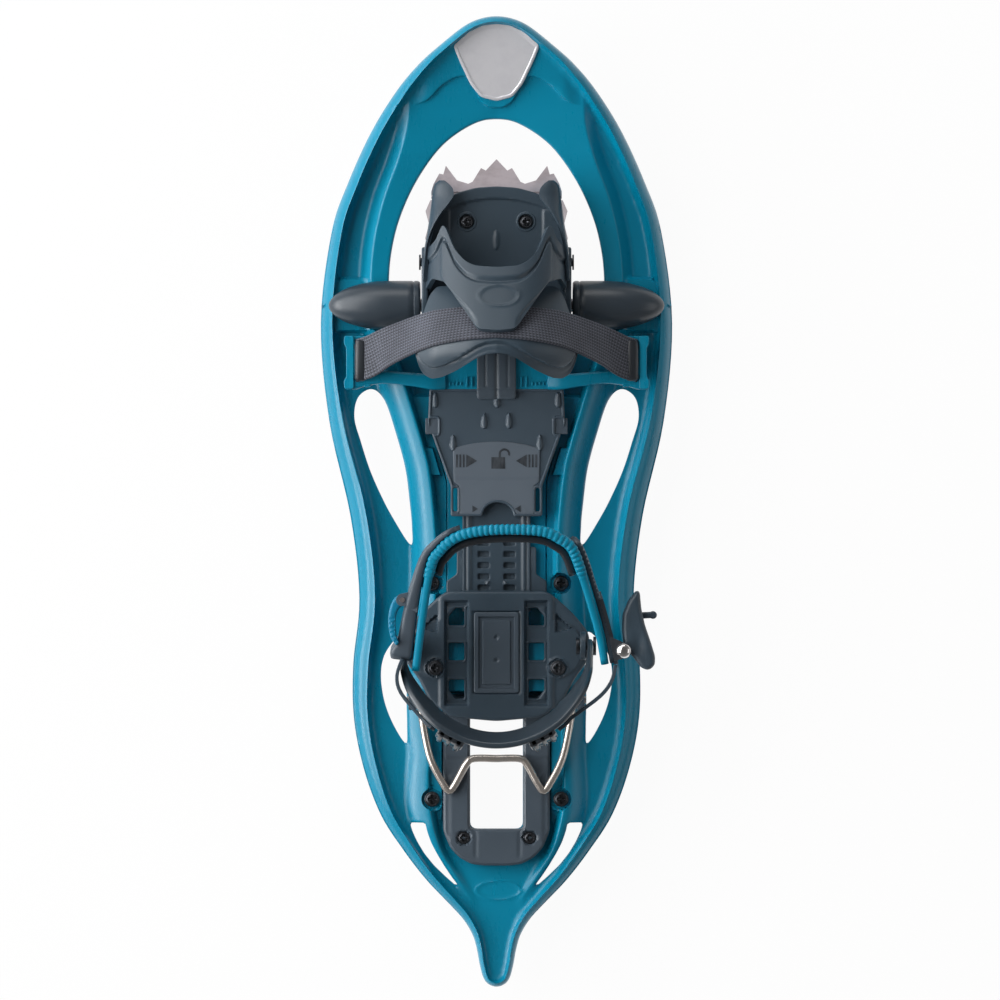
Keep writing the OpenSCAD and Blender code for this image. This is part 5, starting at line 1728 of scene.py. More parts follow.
        return joined("hood_shell", [thick_sheet(grid, self.hood_thick, relief)], 50, (0.5, 50, 2))

    def strap_path(self) -> tuple[Array, Array]:
        """Centre line of the strap from its left tuck to its right tuck, with its tilt.

        Returns:
            The points of the line, and the tilt at each in degrees.
        """
        right = spline(self.strap_line, 8)
        path = evenly(np.concatenate([(right * [-1, 1, 1, 1])[:0:-1], right]), 1.1, False)
        return path[:, :3], path[:, 3]

    def strap_section(self) -> Array:
        """Section of the webbing, with fine ribs on both faces.

        Returns:
            Its points, (across, up).
        """
        flat_half, rib_pitch, rib_rise = 12, 2.2, 0.05
        edge = soft_box(self.strap_width, self.strap_thick, 0.7, 3)
        fold = np.linspace(-0.5, 0.5, 25)[1:-1] * self.strap_width
        fold = fold[np.abs(fold) < flat_half]
        level = np.full_like(fold, self.strap_thick / 2)
        left, right = edge[edge[:, 0] < -flat_half], edge[edge[:, 0] > flat_half]
        section = np.concatenate([left[np.argsort(left[:, 1])], np.stack([fold, level], 1),
                                  right[np.argsort(-right[:, 1])], np.stack([fold[::-1], -level], 1)])
        ribs = rib_rise * np.cos(section[:, 0] * 2 * math.pi / rib_pitch)
        section[:, 1] += np.where(section[:, 1] > 0, ribs, -ribs)
        return section

    def build_strap(self) -> bpy.types.Object:
        """Webbing over the toe, tucked into the two loops, with the weave's own run kept on it.

        Returns:
            The strap.
        """
        path, tilt = self.strap_path()
        section = self.strap_section()
        rings, weave = [], []
        for p, t, a, u in zip(path, directions(path), np.radians(tilt), run_along(path)):
            wide = np.array([0, math.cos(a), -math.sin(a)])
            wide -= t * wide.dot(t)
            wide /= np.linalg.norm(wide)
            rings.append(p + section[:, :1] * wide + section[:, 1:] * np.cross(t, wide))
            weave.append(np.column_stack([np.full(len(section), u), section[:, 0], np.zeros(len(section))]))
        obj = mesh_object("toe_webbing", *loft(np.array(rings)), 60)
        run_map = obj.data.attributes.new("strap_run", "FLOAT_VECTOR", "POINT")
        run_map.data.foreach_set("vector", (np.concatenate(weave) * MM).ravel())
        return obj

    def build_pad(self) -> bpy.types.Object:
        """Moulded pad under the strap: a front apron, and two leaf-shaped wings with a bevelled rear band.

        Returns:
            The pad.
        """
        path, tilt = self.strap_path()
        x = np.linspace(-self.pad_half, self.pad_half, 115)
        order = np.argsort(path[:, 0])
        order = order[np.concatenate([[True], np.diff(path[order, 0]) > 1e-6])]
        py, pz, lean = (np.interp(x, path[order, 0], v[order])[:, None] for v in (path[:, 1], path[:, 2], tilt))
        rear, front = (smoothed(np.interp(np.abs(x), *np.array(rows).T), (1, 2, 3, 2, 1))[:, None]
                       for rows in (self.pad_rear, self.pad_front))
        y = front + (rear - front) * np.linspace(0, 1, 46)[None]
        back = py - y
        droop = np.clip(back - 9, 0, None) ** 1.6 * 0.2
        z = pz - self.pad_thick + back * np.tan(np.radians(lean)) - droop
        grid = np.stack([np.broadcast_to(x[:, None], y.shape), y, z], -1)
        edge = y - rear
        relief = self.pad_step * step_between(edge, *self.pad_band) - 0.5 * bell(edge, 5.4, 0.6)
        relief = relief + 0.4 * (1 - step_between(edge, 0.8, 1.8))
        return joined("pad_wings", [thick_sheet(grid, self.pad_thick, relief)], 50, (0.7, 50, 3))

    def build_track_ribs(self) -> bpy.types.Object:
        """Low lattice under the size track, seen when the heel is lifted.

        Returns:
            The lattice.
        """
        along, across = self.lattice_low
        bars = [(x - 1, -48, x + 1, 64, along) for x in self.lattice_x]
        bars += [(-26.6, y - 1, 26.6, y + 1, across) for y in self.lattice_y]
        parts = [extruded(rounded_loop(rectangle(*box), 0.4), low, self.lattice_top) for *box, low in bars]
        return joined("track_ribs", parts, 40)

    def build_fold_shade(self) -> bpy.types.Object:
        """Black blocks over the strap's tucks round the inner bar of each loop: painted shade where the folds fall into
        shadow.

        Returns:
            The painted-shade blocks.
        """
        parts = []
        for side in SIDES:
            rings = []
            for y, wide, tall in self.fold_shade_rows:
                u, v = soft_box(wide, tall, min(wide, tall) * 0.42, 5).T
                rings.append(np.column_stack([side * (self.fold_shade_at[0] + u), np.full(len(u), y), self.fold_shade_at[1] + v]))
            parts.append(loft(np.array(rings[::side])))
        return joined("strap_fold_shade", parts, 50)

    def build_ears(self) -> bpy.types.Object:
        """Two side walls of the hood, leaning in over the front corners of the toe plate.

        Returns:
            The walls.
        """
        rows = spline(self.ear, 5)
        lean = np.linspace(0, math.pi / 2, 13)
        foot, knee = self.ear_z
        y, outer, inner, high = (rows[:, k:k + 1] for k in range(4))
        x = np.column_stack([outer, inner + (outer - inner) * np.cos(lean)])
        z = np.column_stack([np.full_like(y, foot), knee + (high - knee) * np.sin(lean)])
        grid = np.stack([x, np.broadcast_to(y, x.shape), z], -1)
        return joined("hood_ears", [thick_sheet(grid * [side, 1, 1], 2.2) for side in SIDES], 50, (0.7, 50, 3))

    def build_cheeks(self) -> bpy.types.Object:
        """Side plates beside the hinge, under the hood's feet."""
        loop, (near, far) = rounded_loop(self.cheek, 4), self.cheek_x
        return joined("hinge_cheeks", [extruded(loop, near, far, 0), extruded(loop, -far, -near, 0)], 40, (1.0, 40, 3))

    def build_claw(self) -> bpy.types.Object:
        """Toothed steel claw: a plate under the toe with a front and two side flanges bent down.

        Returns:
            The claw.
        """
        def flange(face: Array, out: Array) -> Mesh:
            """Flange from its outer face and the way that faces."""
            return loft(np.array([face - self.claw_thick * out, face]))
        front, side_bend = (math.radians(a) for a in self.claw_bends)
        x, reach = np.array([*self.claw_teeth, *((-a, r) for a, r in self.claw_teeth[-2::-1])]).T[..., None]
        face = x * [1, 0, 0] + [0, self.claw_fold, self.claw_z] + reach * [0, math.cos(front), -math.sin(front)]
        parts = [flange(face, np.array([0, math.sin(front), math.cos(front)]))]
        y, reach = np.array(self.claw_side).T[..., None]
        for side in SIDES:
            root = [side * self.claw_plate[2], 0, self.claw_z - 0.3]
            face = y * [0, 1, 0] + root + reach * [side * math.cos(side_bend), 0, -math.sin(side_bend)]
            parts.append(flange(face[::-side], np.array([side * math.sin(side_bend), 0, math.cos(side_bend)])))
        plate = rounded_loop(rectangle(*self.claw_plate), 1)
        parts.append(extruded(plate, self.claw_z - self.claw_thick, self.claw_z - 0.05))
        return joined("claw_plate", parts, 30, (0.3, 30, 2))

    def build_bridge(self) -> bpy.types.Object:
        """Teal base of the binding: hinge barrel, bridge, two arms and the strap loops at their ends.

        Returns:
            The base.
        """
        parts = [extruded(np.array(self.base_side), -self.base_half, self.base_half, 0),
                 lathe(self.barrel, self.hinge, 0, 40)]
        rows = spline(self.arm, 6)
        low, high = self.post_z
        for side in SIDES:
            rings = []
            for x, y, z, wide, tall in rows[::side]:
                u, v = soft_box(wide, tall, 2.2, 4).T
                rings.append(np.column_stack([np.full(len(u), side * x), y + u, z + v]))
            parts.append(loft(np.array(rings)))
            parts.append(extruded(rounded_loop((self.post * np.array([side, 1]))[::side], 1.2), low, high))
            for *box, top in self.loop_bars:
                parts.append(extruded(rounded_loop((rectangle(*box) * [side, 1])[::side], 0.8), low, top))
        return joined("binding_bridge", parts, 36, (0.8, 36, 3))

    def cover_top(self, x: Array, y: Array, depth: Array) -> Array:
        """Upper face of the size cover with its rim and studs.

        Args:
            x: places across.
            y: places along.
            depth: distance to the nearest edge.

        Returns:
            The heights.
        """
        z = self.cover_z[1] - 0.9 + 0.8 * (1 - step_between(depth, 1.3, 1.8))
        half, length = self.bump_half
        for bx, by in self.bumps:
            along = np.clip((y - by) / length, -1, 1)
            wide = half * np.sqrt(np.maximum(1 - along ** 2, 0)) * (1 - 0.35 * along) + 1e-3
            rise = np.maximum(1 - ((x - bx) / wide) ** 2, 0)
            z = z + 1.5 * np.where(np.abs(y - by) < length, np.sqrt(rise), 0)
        return z - edge_drop(depth, 0.9)

    def build_panel(self) -> bpy.types.Object:
        """Paler arched panel on the cover.

        Returns:
            The panel.
        """
        half, middle, fall = self.panel_arch
        x = np.linspace(-half, half, 25)
        arch = np.stack([x, middle - fall * x ** 2], 1)
        notch = arc(self.notch_at, self.panel_notch, np.linspace(0.12, math.pi - 0.12, 15))
        side = np.array(self.panel_side)
        loop = rounded_loop(np.concatenate([side, notch, side[::-1] * MIRROR, arch]), 0.5)
        low, high = self.panel_z

        def top(x: Array, y: Array, depth: Array) -> Array:
            """Flat with a soft edge and a shallow step."""
            return high - edge_drop(depth, 0.35) - 0.3 * step_between(14.2 - y, -0.4, 0.4)
        return Relief(loop, top, eased(low), [], 1.1, (0.15, 0.35)).piece("size_panel", 34)

    def build_marks(self) -> bpy.types.Object:
        """Arrows and an open padlock moulded into the panel.

        Returns:
            The marks.
        """
        shapes = [(mark * np.array([side, 1]))[::side] for side in SIDES for mark in self.marks]
        shapes.append(rectangle(*self.lock_box))
        inner, outer = self.shackle_r
        shapes.append(np.concatenate([arc(self.shackle_at, outer, np.linspace(-0.3, math.pi, 12)),
                                      [(1.2, 26.6), (2.4, 26.6)],
                                      arc(self.shackle_at, inner, np.linspace(math.pi, -0.3, 12))]))
        lower, upper = self.mark_seat
        seats = [upper if shape[:, 1].min() > 10 else lower for shape in shapes]
        return joined("size_marks", [extruded(shape, low, low + self.mark_rise) for shape, low in zip(shapes, seats)])

    def build_cover(self) -> bpy.types.Object:
        """Size cover with side slots and a half-round reading window.

        Returns:
            The cover.
        """
        right = np.array(self.cover_half)
        notch = arc(self.notch_at, self.cover_notch, np.linspace(0, math.pi, 13))
        outer = rounded_loop(np.concatenate([right, notch, right[::-1] * MIRROR]), 1.6)
        holes = [rounded_loop(rectangle(*box) * [s, 1], r) for *box, r in self.cover_holes for s in SIDES]
        rings = (0.2, 0.45, 0.9, 1.3, 1.9)
        return Relief(outer, self.cover_top, eased(self.cover_z[0]), holes, 0.75, rings).piece("size_plate", 34)

    def build_spine(self) -> bpy.types.Object:
        """Raised block that joins the cover to the hinge, with a centre groove.

        Returns:
            The block.
        """
        low, high = self.spine_z

        def top(x: Array, y: Array, depth: Array) -> Array:
            """Two flats with a groove between them."""
            z = high - edge_drop(depth, 0.9) - 0.9 * bell(x, 0, 0.8) - 0.7 * step_between(66.5 - y, -0.4, 0.4)
            return z - 0.5 * bell(np.abs(x), 6.5, 0.6) * (y > 68)
        loop = rounded_loop(rectangle(*self.spine), 2.0)
        return Relief(loop, top, eased(low), [], 0.8, (0.2, 0.5, 0.9)).piece("size_spine", 40)

    def build_ticks(self) -> bpy.types.Object:
        """Short raised marks on the base beside the spine.

        Returns:
            The marks.
        """
        parts = []
        for side in SIDES:
            for x, y, wide, long in self.ticks:
                box = rectangle(side * x - wide / 2, y - long / 2, side * x + wide / 2, y + long / 2)
                parts.append(extruded(rounded_loop(box, 0.4, 3), *self.tick_z))
        return joined("base_ticks", parts, edge=(0.2,))

    def build_tread(self) -> bpy.types.Object:
        """Toe plate with an arched front lip, an almond boss and screw wells.

        Returns:
            The plate.
        """
        low, high = self.tread_z
        sx, sy = self.toe_screw
        well_r, well_z = self.tread_well
        (middle_y, fall), (lip_run, lip_rise) = self.tread_front, self.tread_lip

        def top(x: Array, y: Array, depth: Array) -> Array:
            """Tread heights.

            Args:
                x: places across.
                y: places along.
                depth: distance to the nearest edge.

            Returns:
                The heights.
            """
            u = np.abs(x)
            front = middle_y - fall * x ** 2
            z = high + lip_rise * step_between(y - (front - lip_run), -0.6, 0.6)
            z = z + 1.0 * step_between(u - 27.5, -0.5, 0.5) * step_between(172 - y, -1, 1)
            middle, half, length = self.almond
            boss = 1 - (u / (half * np.clip(1 - ((y - middle) / length) ** 2, 0.02, 1))) ** 2
            z = z + 0.7 * np.sqrt(np.clip(boss, 0, 1)) * (np.abs(y - middle) < length)
            away = np.hypot(u - sx, y - sy)
            z = np.where(away < well_r, well_z, z + 0.5 * step_between(6.0 - away, 0, 0.6))
            return z - edge_drop(depth, 0.7)
        rings = [arc((s * sx, sy), r, whole_turn(30)) for s in SIDES for r in (4.4, 4.58, 4.64, 5.4, 6.0)]
        outer = rounded_loop(mirrored(self.tread_half), 3)
        return Relief(outer, top, eased(low), [], 1.0, (0.2, 0.5, 0.9), rings).piece("toe_tread", 36)

    def build(self) -> None:
        """Make and dress every piece of the binding."""
        for make, finish, *nodes in (
                (self.build_bridge, Finishes.teal, "binding_base"), (self.build_tread, Finishes.dark, "toe_plate"),
                (self.build_ears, Finishes.dark), (self.build_cheeks, Finishes.dark),
                (self.build_claw, Finishes.claw, "toe_claw"), (self.build_hood, Finishes.dark, "toe_hood"),
                (self.build_pad, Finishes.dark, "toe_pad"), (self.build_strap, Finishes.webbing, "toe_strap"),
                # the black strap-fold blocks are painted shade, not a part
                (self.build_fold_shade, Finishes.black), (self.build_track_ribs, Finishes.teal),
                (self.build_cover, Finishes.cover, "size_cover"), (self.build_panel, Finishes.pale),
                (self.build_marks, Finishes.black), (self.build_spine, Finishes.grey),
                (self.build_ticks, Finishes.bright)):
            settle(make(), "binding", finish, *nodes)
        for node, finish, edge in (
                ("size_track", Finishes.teal, 0.5), ("toe_nuts", Finishes.steel, 0.3),
                ("hood_rivets", Finishes.screw, 0.3), ("hinge_bushes", Finishes.black, 0.3),
                ("lock_button_left", Finishes.grey, 0.5), ("lock_button_right", Finishes.grey, 0.5)):
            keep_solid(node, finish, edge)
        seats = [(s * self.toe_screw[0], self.toe_screw[1], *self.toe_seat) for s in SIDES]
        settle(screw_heads("toe_bolts", seats, 3.7), "binding", Finishes.screw, "toe_screws")


# ---------------------------------------------------------------- carriage

@dataclass
class Carriage:
    """Sliding heel carriage: ladder tongue, heel platform and its insert. Sizes in millimetres."""

    platform_half: Points = ((0, -52), (29, -52), (34, -55), (46, -66), (54, -76), (55, -84), (53, -94), (46, -103),
                             (39, -117), (26.5, -126), (0, -128.4))
    rows: Points = ((-72, -62), (-92.5, -82.5), (-115, -104))
    windows: tuple = (19.0, 28.0)
    cut_corner: tuple = (4.0, 5.0)
    channel: tuple = (16.4, 30.6, -119.0, -58.0)  # two x and two y
    channel_deep: float = 3.0
    recess_x: float = 34.6
    recess_deep: float = 2.4
    lobe: tuple = (34.0, -86.0, 16.6)  # middle and radius
    bed: tuple = (13.9, -112.4, -63.6)  # half width and the two ends
    screw: tuple = (36.0, -97.0)
    screw_seat: tuple = (5.3, 41.6)  # radius and height
    top_z: float = 42.0
    low_z: float = 36.0
    tongue: tuple = (-20.0, -64.0, 20.0, 30.0)
    tongue_z: tuple = (28.0, 32.0)
    tray: tuple = (-13.0, -54.0, 13.0, -12.0)
    slots: tuple = (4.2, 11.0, 1.65, -50.0, 6.6, 6)  # two x, half width, first y, pitch and count
    wing: Points = ((19.6, -60), (29.4, -58), (29.4, -46), (23.4, -42), (23.4, -26), (19.6, -26))
    ramp: Points = ((-64, 28.2), (-52.5, 28.2), (-51.5, 31.8), (-52.5, 36.6), (-64, 36.6))
    lug_at: tuple = (-84.0, 52.0)
    lug_r: float = 8.0
    lug_x: tuple = (49.0, 52.5)
    insert: tuple = (-13.3, -111.8, 13.3, -64.2)
    insert_z: tuple = (40.9, 42.4)

    def platform_top(self, x: Array, y: Array, depth: Array) -> Array:
        """Platform face: channels round the windows, side recesses and screw seats.

        Args:
            x: places across.
            y: places along.
            depth: distance to the nearest edge.

        Returns:
            The heights.
        """
        u = np.abs(x)
        z = self.top_z - edge_drop(depth, 1.6)
        near, far, rear, front = self.channel
        channel = step_between(u - near, 0, 0.8) * step_between(far - u, 0, 0.8)
        z = z - self.channel_deep * channel * step_between(front - y, -1, 1) * step_between(y - rear, -1, 1)
        x0, x1 = self.windows
        for lo, hi in self.rows:
            away = np.maximum(np.abs(u - (x0 + x1) / 2) - (x1 - x0) / 2, np.abs(y - (lo + hi) / 2) - (hi - lo) / 2)
            z = z + 0.6 * step_between(1.2 - away, 0, 0.4)
        over = u - self.recess_x
        z = z - self.recess_deep * step_between(least(over, -65.0 - y - 0.9 * over, y + 76.5 - 0.25 * over), 0, 0.5)
        lx, ly, r = self.lobe
        z = z - 0.9 * step_between(np.hypot(u - lx, y - ly) - r, 0, 0.8) * step_between(u, lx - 1, lx)
        away = np.hypot(u - self.screw[0], y - self.screw[1])
        z = np.where(away < self.screw_seat[0], self.screw_seat[1], z + 0.5 * step_between(6.6 - away, 0, 0.5))
        half, rear, front = self.bed
        return z - step_between(half - u, 0, 0.3) * step_between(front - y, 0, 0.3) * step_between(y - rear, 0, 0.3)

    def build_platform(self) -> bpy.types.Object:
        """Heel platform with six windows, the outer corners of the end ones cut off.

        Returns:
            The platform.
        """
        x0, x1 = self.windows
        cx, cy = self.cut_corner
        shapes = [rectangle(x0, a, x1, b) for a, b in self.rows]
        (_, b), (a, _) = self.rows[0], self.rows[2]
        shapes[0] = np.concatenate([shapes[0][:2], [(x1, b - cy), (x1 - cx, b)], shapes[0][3:]])
        shapes[2] = np.concatenate([shapes[2][:1], [(x1 - cx, a), (x1, a + cy)], shapes[2][2:]])
        holes = [rounded_loop(shape * [s, 1], 0.8) for s in SIDES for shape in shapes]
        loop = rounded_loop(mirrored(self.platform_half), 4)
        relief = Relief(loop, self.platform_top, eased(self.low_z), holes, 1.0, (0.2, 0.5, 1.0, 1.6))
        return relief.piece("heel_platform")

    def build_tongue(self) -> bpy.types.Object:
        """Ladder tongue with its row of locking slots.

        Returns:
            The tongue.
        """
        x0, x1, half, first, pitch, count = self.slots
        holes = [rounded_loop(rectangle(x0, y - half, x1, y + half) * [s, 1], 0.8)
                 for y in (first + pitch * k for k in range(count)) for s in SIDES]
        low, high = self.tongue_z

        def top(x: Array, y: Array, depth: Array) -> Array:
            """Raised side rails and a low middle.

            Args:
                x: places across.
                y: places along.
                depth: distance to the nearest edge.

            Returns:
                The heights.
            """
            z = high - edge_drop(depth, 0.6) - 0.9 * step_between(15.5 - np.abs(x), 0, 0.8)
            rib = np.minimum(1.0 - np.abs(np.abs(x) - 5.2), -46 - y)
            return z + 0.8 * step_between(rib, 0, 0.4) - 0.5 * (np.abs(np.abs(x) - 17.6) < 0.5)
        relief = Relief(rounded_loop(rectangle(*self.tongue), 1.5), top, eased(low), holes, 1.0, (0.2, 0.5, 0.9))
        tray = extruded(rounded_loop(rectangle(*self.tray), 1), 27.9, 28.7)
        return joined("ladder_tongue", [relief.skin(), tray])

    def build_neck(self) -> bpy.types.Object:
        """Web from the tongue up to the platform, with the two pivot lugs.

        Returns:
            The web and the lugs.
        """
        parts = [extruded(rounded_loop((self.wing * np.array([side, 1]))[::side], 1.2), 28.2, 31.4) for side in SIDES]
        parts.append(extruded(rounded_loop(self.ramp, 0.8), -20, 20, 0))
        head = arc(self.lug_at, self.lug_r, np.linspace(0, math.pi, 15))
        lug = np.concatenate([[(-75.5, 41)], head, [(-92.5, 41)]])
        near, far = self.lug_x
        parts += [extruded(lug, -far, -near, 0), extruded(lug, near, far, 0)]
        return joined("pivot_lugs", parts, 30, (0.7, 40))

    def build_insert(self) -> bpy.types.Object:
        """Nested rectangles in the middle of the platform.

        Returns:
            The insert.
        """
        low, high = self.insert_z

        def top(x: Array, y: Array, depth: Array) -> Array:
            """Border, hollow and raised middle.

            Args:
                x: places across.
                y: places along.
                depth: distance to the nearest edge.

            Returns:
                The heights.
            """
            z = high - edge_drop(depth, 0.7) - 0.9 * step_between(depth, 2.6, 3.1) + 0.7 * step_between(depth, 5.0, 5.5)
            dots = np.minimum(np.hypot(x, y + 79.0), np.hypot(x, y + 92.5))
            return z - 0.6 * (1 - step_between(dots, 0.9, 1.4))
        loop = rounded_loop(rectangle(*self.insert), 2.0)
        return Relief(loop, top, eased(low), [], 0.8, (0.2, 0.5, 0.9, 2.6, 3.1, 5.0, 5.5)).piece("insert_block", 36)

    def build(self) -> None:
        """Make and dress every piece of the carriage."""
        settle(self.build_platform(), "carriage", Finishes.dark, "heel_carriage")
        settle(self.build_tongue(), "carriage", Finishes.dark)
        settle(self.build_neck(), "carriage", Finishes.dark)
        settle(self.build_insert(), "carriage", Finishes.grey, "heel_insert")
        seats = [(s * self.screw[0], self.screw[1], 40.0, 43.6) for s in SIDES]
        settle(screw_heads("platform_bolts", seats, 4.4), "carriage", Finishes.screw, "carriage_screws")


# ---------------------------------------------------------------- harness

@dataclass
class Harness:
    """Heel cup and ankle strap with ratchet and quick adjuster. Sizes in millimetres.

    Rows are x, y, height over the pivot and half height.
    """

    pivot_z: float = 52.0
    cup: Points = ((54.65, -84, 0, 6), (54.65, -90, 11, 7), (52.85, -103, 28, 9), (46.65, -116, 40, 11),
                   (35, -129, 46, 12.5), (18, -138, 47.5, 12.5), (0, -141, 48, 12.5))
    cup_thick: float = 3.5
    cup_foot: Points = ((93, 0), (98, 2.5), (103, 5), (116, 6.5), (129, 6.5), (141, 6))  # (-y, thickening)
    ankle: Points = ((63, -93, 36, 9), (60, -77, 40, 10), (52, -49, 48, 12), (44.5, -28, 54, 13), (36, -20.5, 57, 13),
                     (26, -16.5, 58.5, 13), (8, -15.5, 59, 13), (-10, -16.5, 58.5, 13), (-23, -20, 57, 13),
                     (-32, -27, 54, 13), (-38, -37, 51, 12), (-43, -66, 42, 10), (-47, -97, 35, 9))
    ankle_thick: float = 4.6
    bead_pitch: float = 3.0
    tooth_pitch: float = 2.6
    shell_thick: Points = ((-92, 11.5), (-89, 13.5), (-85, 12.5), (-81.5, 9.6), (-60, 8.2), (-40, 5.4), (-20, 3))
    adjuster_at: tuple = (-54.8, -56.5)
    ear_r: float = 3.6
    ear_z: tuple = (89.4, 102.4)
    ear_thick: float = 2.2
    lever: Points = ((74, -81.8), (73.2, -74), (73.4, -65), (77, -56.5), (81.6, -51), (83.4, -51.8), (84.4, -62),
                     (86.4, -71), (89.8, -81), (92.4, -89.5), (92.2, -94.6), (88.6, -97.6), (84, -96), (80, -90.4),
                     (77.6, -87.6), (74, -90.2))
    lever_foot: Points = ((74.2, -75), (87, -75), (89, -81), (91.4, -89.5), (91.2, -94), (88.4, -96.4), (84.4, -95),
                          (80.4, -89.8), (77.4, -87), (74.2, -89))
    lever_pivot: tuple = (74.0, -86.0)
    leaf_z: tuple = (80.0, 85.6, 92.4, 98.0)  # under and upper side of each leaf
    tab_z: tuple = (86.0, 92.0)
    thumb: tuple = (82.5, -83.0, 3.2, 6.0)  # middle and half sizes of the hollow
    grip: tuple = (91.2, -65.4, 2.3)  # middle and radius, as in grip_back
    grip_back: tuple = (79.6, -66.0, 2.6)
    buckle_at: tuple = (27.5, -138.2)
    buckle_turn: float = 30.0
    buckle_bars: Points = ((0, 17, 3.4), (-5.4, 3.4, 5.0), (0, 3.0, 4.6), (5.4, 3.4, 5.0))  # place, width and bulge
    clip_outer: Points = ((-54.8, -52.8), (-59.4, -55.6), (-62.2, -62), (-62.9, -70), (-61.6, -78), (-58.4, -83))
    clip_inner: Points = ((-56.6, -81.6), (-58.2, -77), (-58.7, -70), (-58.2, -65), (-56.4, -61.2), (-53.6, -60))
    clip_z: tuple = (92.0, 102.0)
    clip_nose: float = 3.5
    liner_end: float = -40.0
    liner_shift: float = -5.3
    liner_thick: float = 4.4
    liner_drop: float = 7.0
    liner_half: float = 10.0
    ladder_from: tuple = (40.0, -24.0)
    ladder_shift: float = 4.5
    ladder_thick: float = 3.0
    ladder_half: float = 7.0
    tooth_rise: float = 0.35
    shell_from: tuple = (-20.0, -92.0)
    shell_gap: float = 3.05
    ear_roots: Points = ((-45, -50.6), (-46, -64))
    foot_z: tuple = (85.0, 93.0)
    hub: tuple = (4.2, 80.4, 97.4)  # radius and two heights
    buckle_z: tuple = (86.0, 111.0)
    buckle_arch: tuple = (85.0, 27.0)  # where the bulge starts and how high it runs
    buckle_root: tuple = (2.6, 3.6)  # least thickness, and how far it is set in
    dome: tuple = (2.6, 4.3, 4.5, 3.2)  # radii from its foot up, and rise

    def rows(self, points: Points, gap: float) -> Array:
        """Smooth even rows of (x, y, z, half height) at the height of the pivot."""
        return evenly(spline(points, 12) + [0, 0, self.pivot_z, 0], gap, False)

    def ribbon(self, rows: Array, shift: Array | float, thick: Array | float, rise: float = 0.0,
               tall: Array | float | None = None, ribs: Array | float = 0.0, round_edge: float = 0.8,
               foot: Array | float = 0.0) -> Mesh:
        """Upright strap along rows that run anticlockwise.

        Args:
            rows: x, y, z and half height.
            shift: how far outward its middle lies from the rows.
            thick: its thickness.
            rise: how far it is lifted.
            tall: half height in place of the rows' own.
            ribs: added thickness outside.
            round_edge: rounding of its section.
            foot: how far its lower edge thickens inward.

        Returns:
            Vertices and faces.
        """
        end_run, end_taper = 4.0, 0.35
        n = len(rows)
        level = np.column_stack([-left_of(np.gradient(rows[:, :2], axis=0)), np.zeros(n)])
        up = np.cross(level, directions(rows[:, :3]))
        shift, thick, ribs, foot = (np.broadcast_to(v, (n,)) for v in (shift, thick, ribs, foot))
        half = rows[:, 3] if tall is None else np.broadcast_to(tall, (n,))
        run = run_along(rows[:, :3])
        taper = 1 - end_taper * (1 - np.minimum(np.minimum(run, run[-1] - run) / end_run, 1)) ** 2
        rings = []
        for i in range(n):
            s = soft_box(thick[i], 2 * half[i] * taper[i], min(round_edge, thick[i] * 0.36), 5)
            s[:, 0] += np.where(s[:, 0] > 0, ribs[i], 0)
            inner = np.where(s[:, 0] < 0, np.clip(0.5 - s[:, 1] / (2 * half[i]), 0, 1), 0)
            at = rows[i, :3] + (shift[i] + s[:, :1] - inner[:, None] * foot[i]) * level[i] + s[:, 1:] * up[i]
            rings.append(at + [0, 0, rise])
        return loft(np.array(rings))

    def build_cup(self) -> bpy.types.Object:
        """Heel cup: a deep band round the heel, hung on the two lugs.

        Returns:
            The cup.
        """
        half = np.array(self.cup)
        rows = self.rows(np.concatenate([half * [-1, 1, 1, 1], half[-2::-1]]), 1.4)
        foot = look_up(-rows[:, 1], self.cup_foot)
        return mesh_object("cup_band", *self.ribbon(rows, 0.0, self.cup_thick, round_edge=1.5, foot=foot), 50)

    def build_ankle(self) -> bpy.types.Object:
        """Rubber ankle strap with beads round its front.

        Returns:
            The strap.
        """
        rows = self.rows(self.ankle, 0.42)
        front = step_between(rows[:, 1], -44, -36)
        bead = np.abs(np.sin(run_along(rows[:, :3]) * math.pi / self.bead_pitch)) ** 0.7
        thick = self.ankle_thick + front * (0.2 + 1.5 * bead)
        tall = rows[:, 3] - 0.6 + front * 0.6 * bead
        return mesh_object("ankle_band", *self.ribbon(rows, 0.0, thick, tall=tall, round_edge=1.9), 60)

    def build_liner(self) -> bpy.types.Object:
        """Dark liner inside the front of the ankle strap.

        Returns:
            The liner.
        """
        rows = self.rows(self.ankle, 0.9)
        mesh = self.ribbon(rows[rows[:, 1] > self.liner_end], self.liner_shift, self.liner_thick, -self.liner_drop,
                           self.liner_half, round_edge=1.4)
        return mesh_object("liner_band", *mesh, 50)

    def build_ladder(self) -> bpy.types.Object:
        """Toothed strap on the outer right side.

        Returns:
            The strap.
        """
        rows = self.rows(self.ankle, 0.5)
        x, y = self.ladder_from
        rows = rows[(rows[:, 0] > x) & (rows[:, 1] < y)]
        teeth = self.tooth_rise * np.sign(np.sin(run_along(rows[:, :3]) * 2 * math.pi / self.tooth_pitch))
        mesh = self.ribbon(rows, self.ladder_shift, self.ladder_thick, tall=self.ladder_half, ribs=teeth)
        return mesh_object("ladder_band", *mesh, 40)

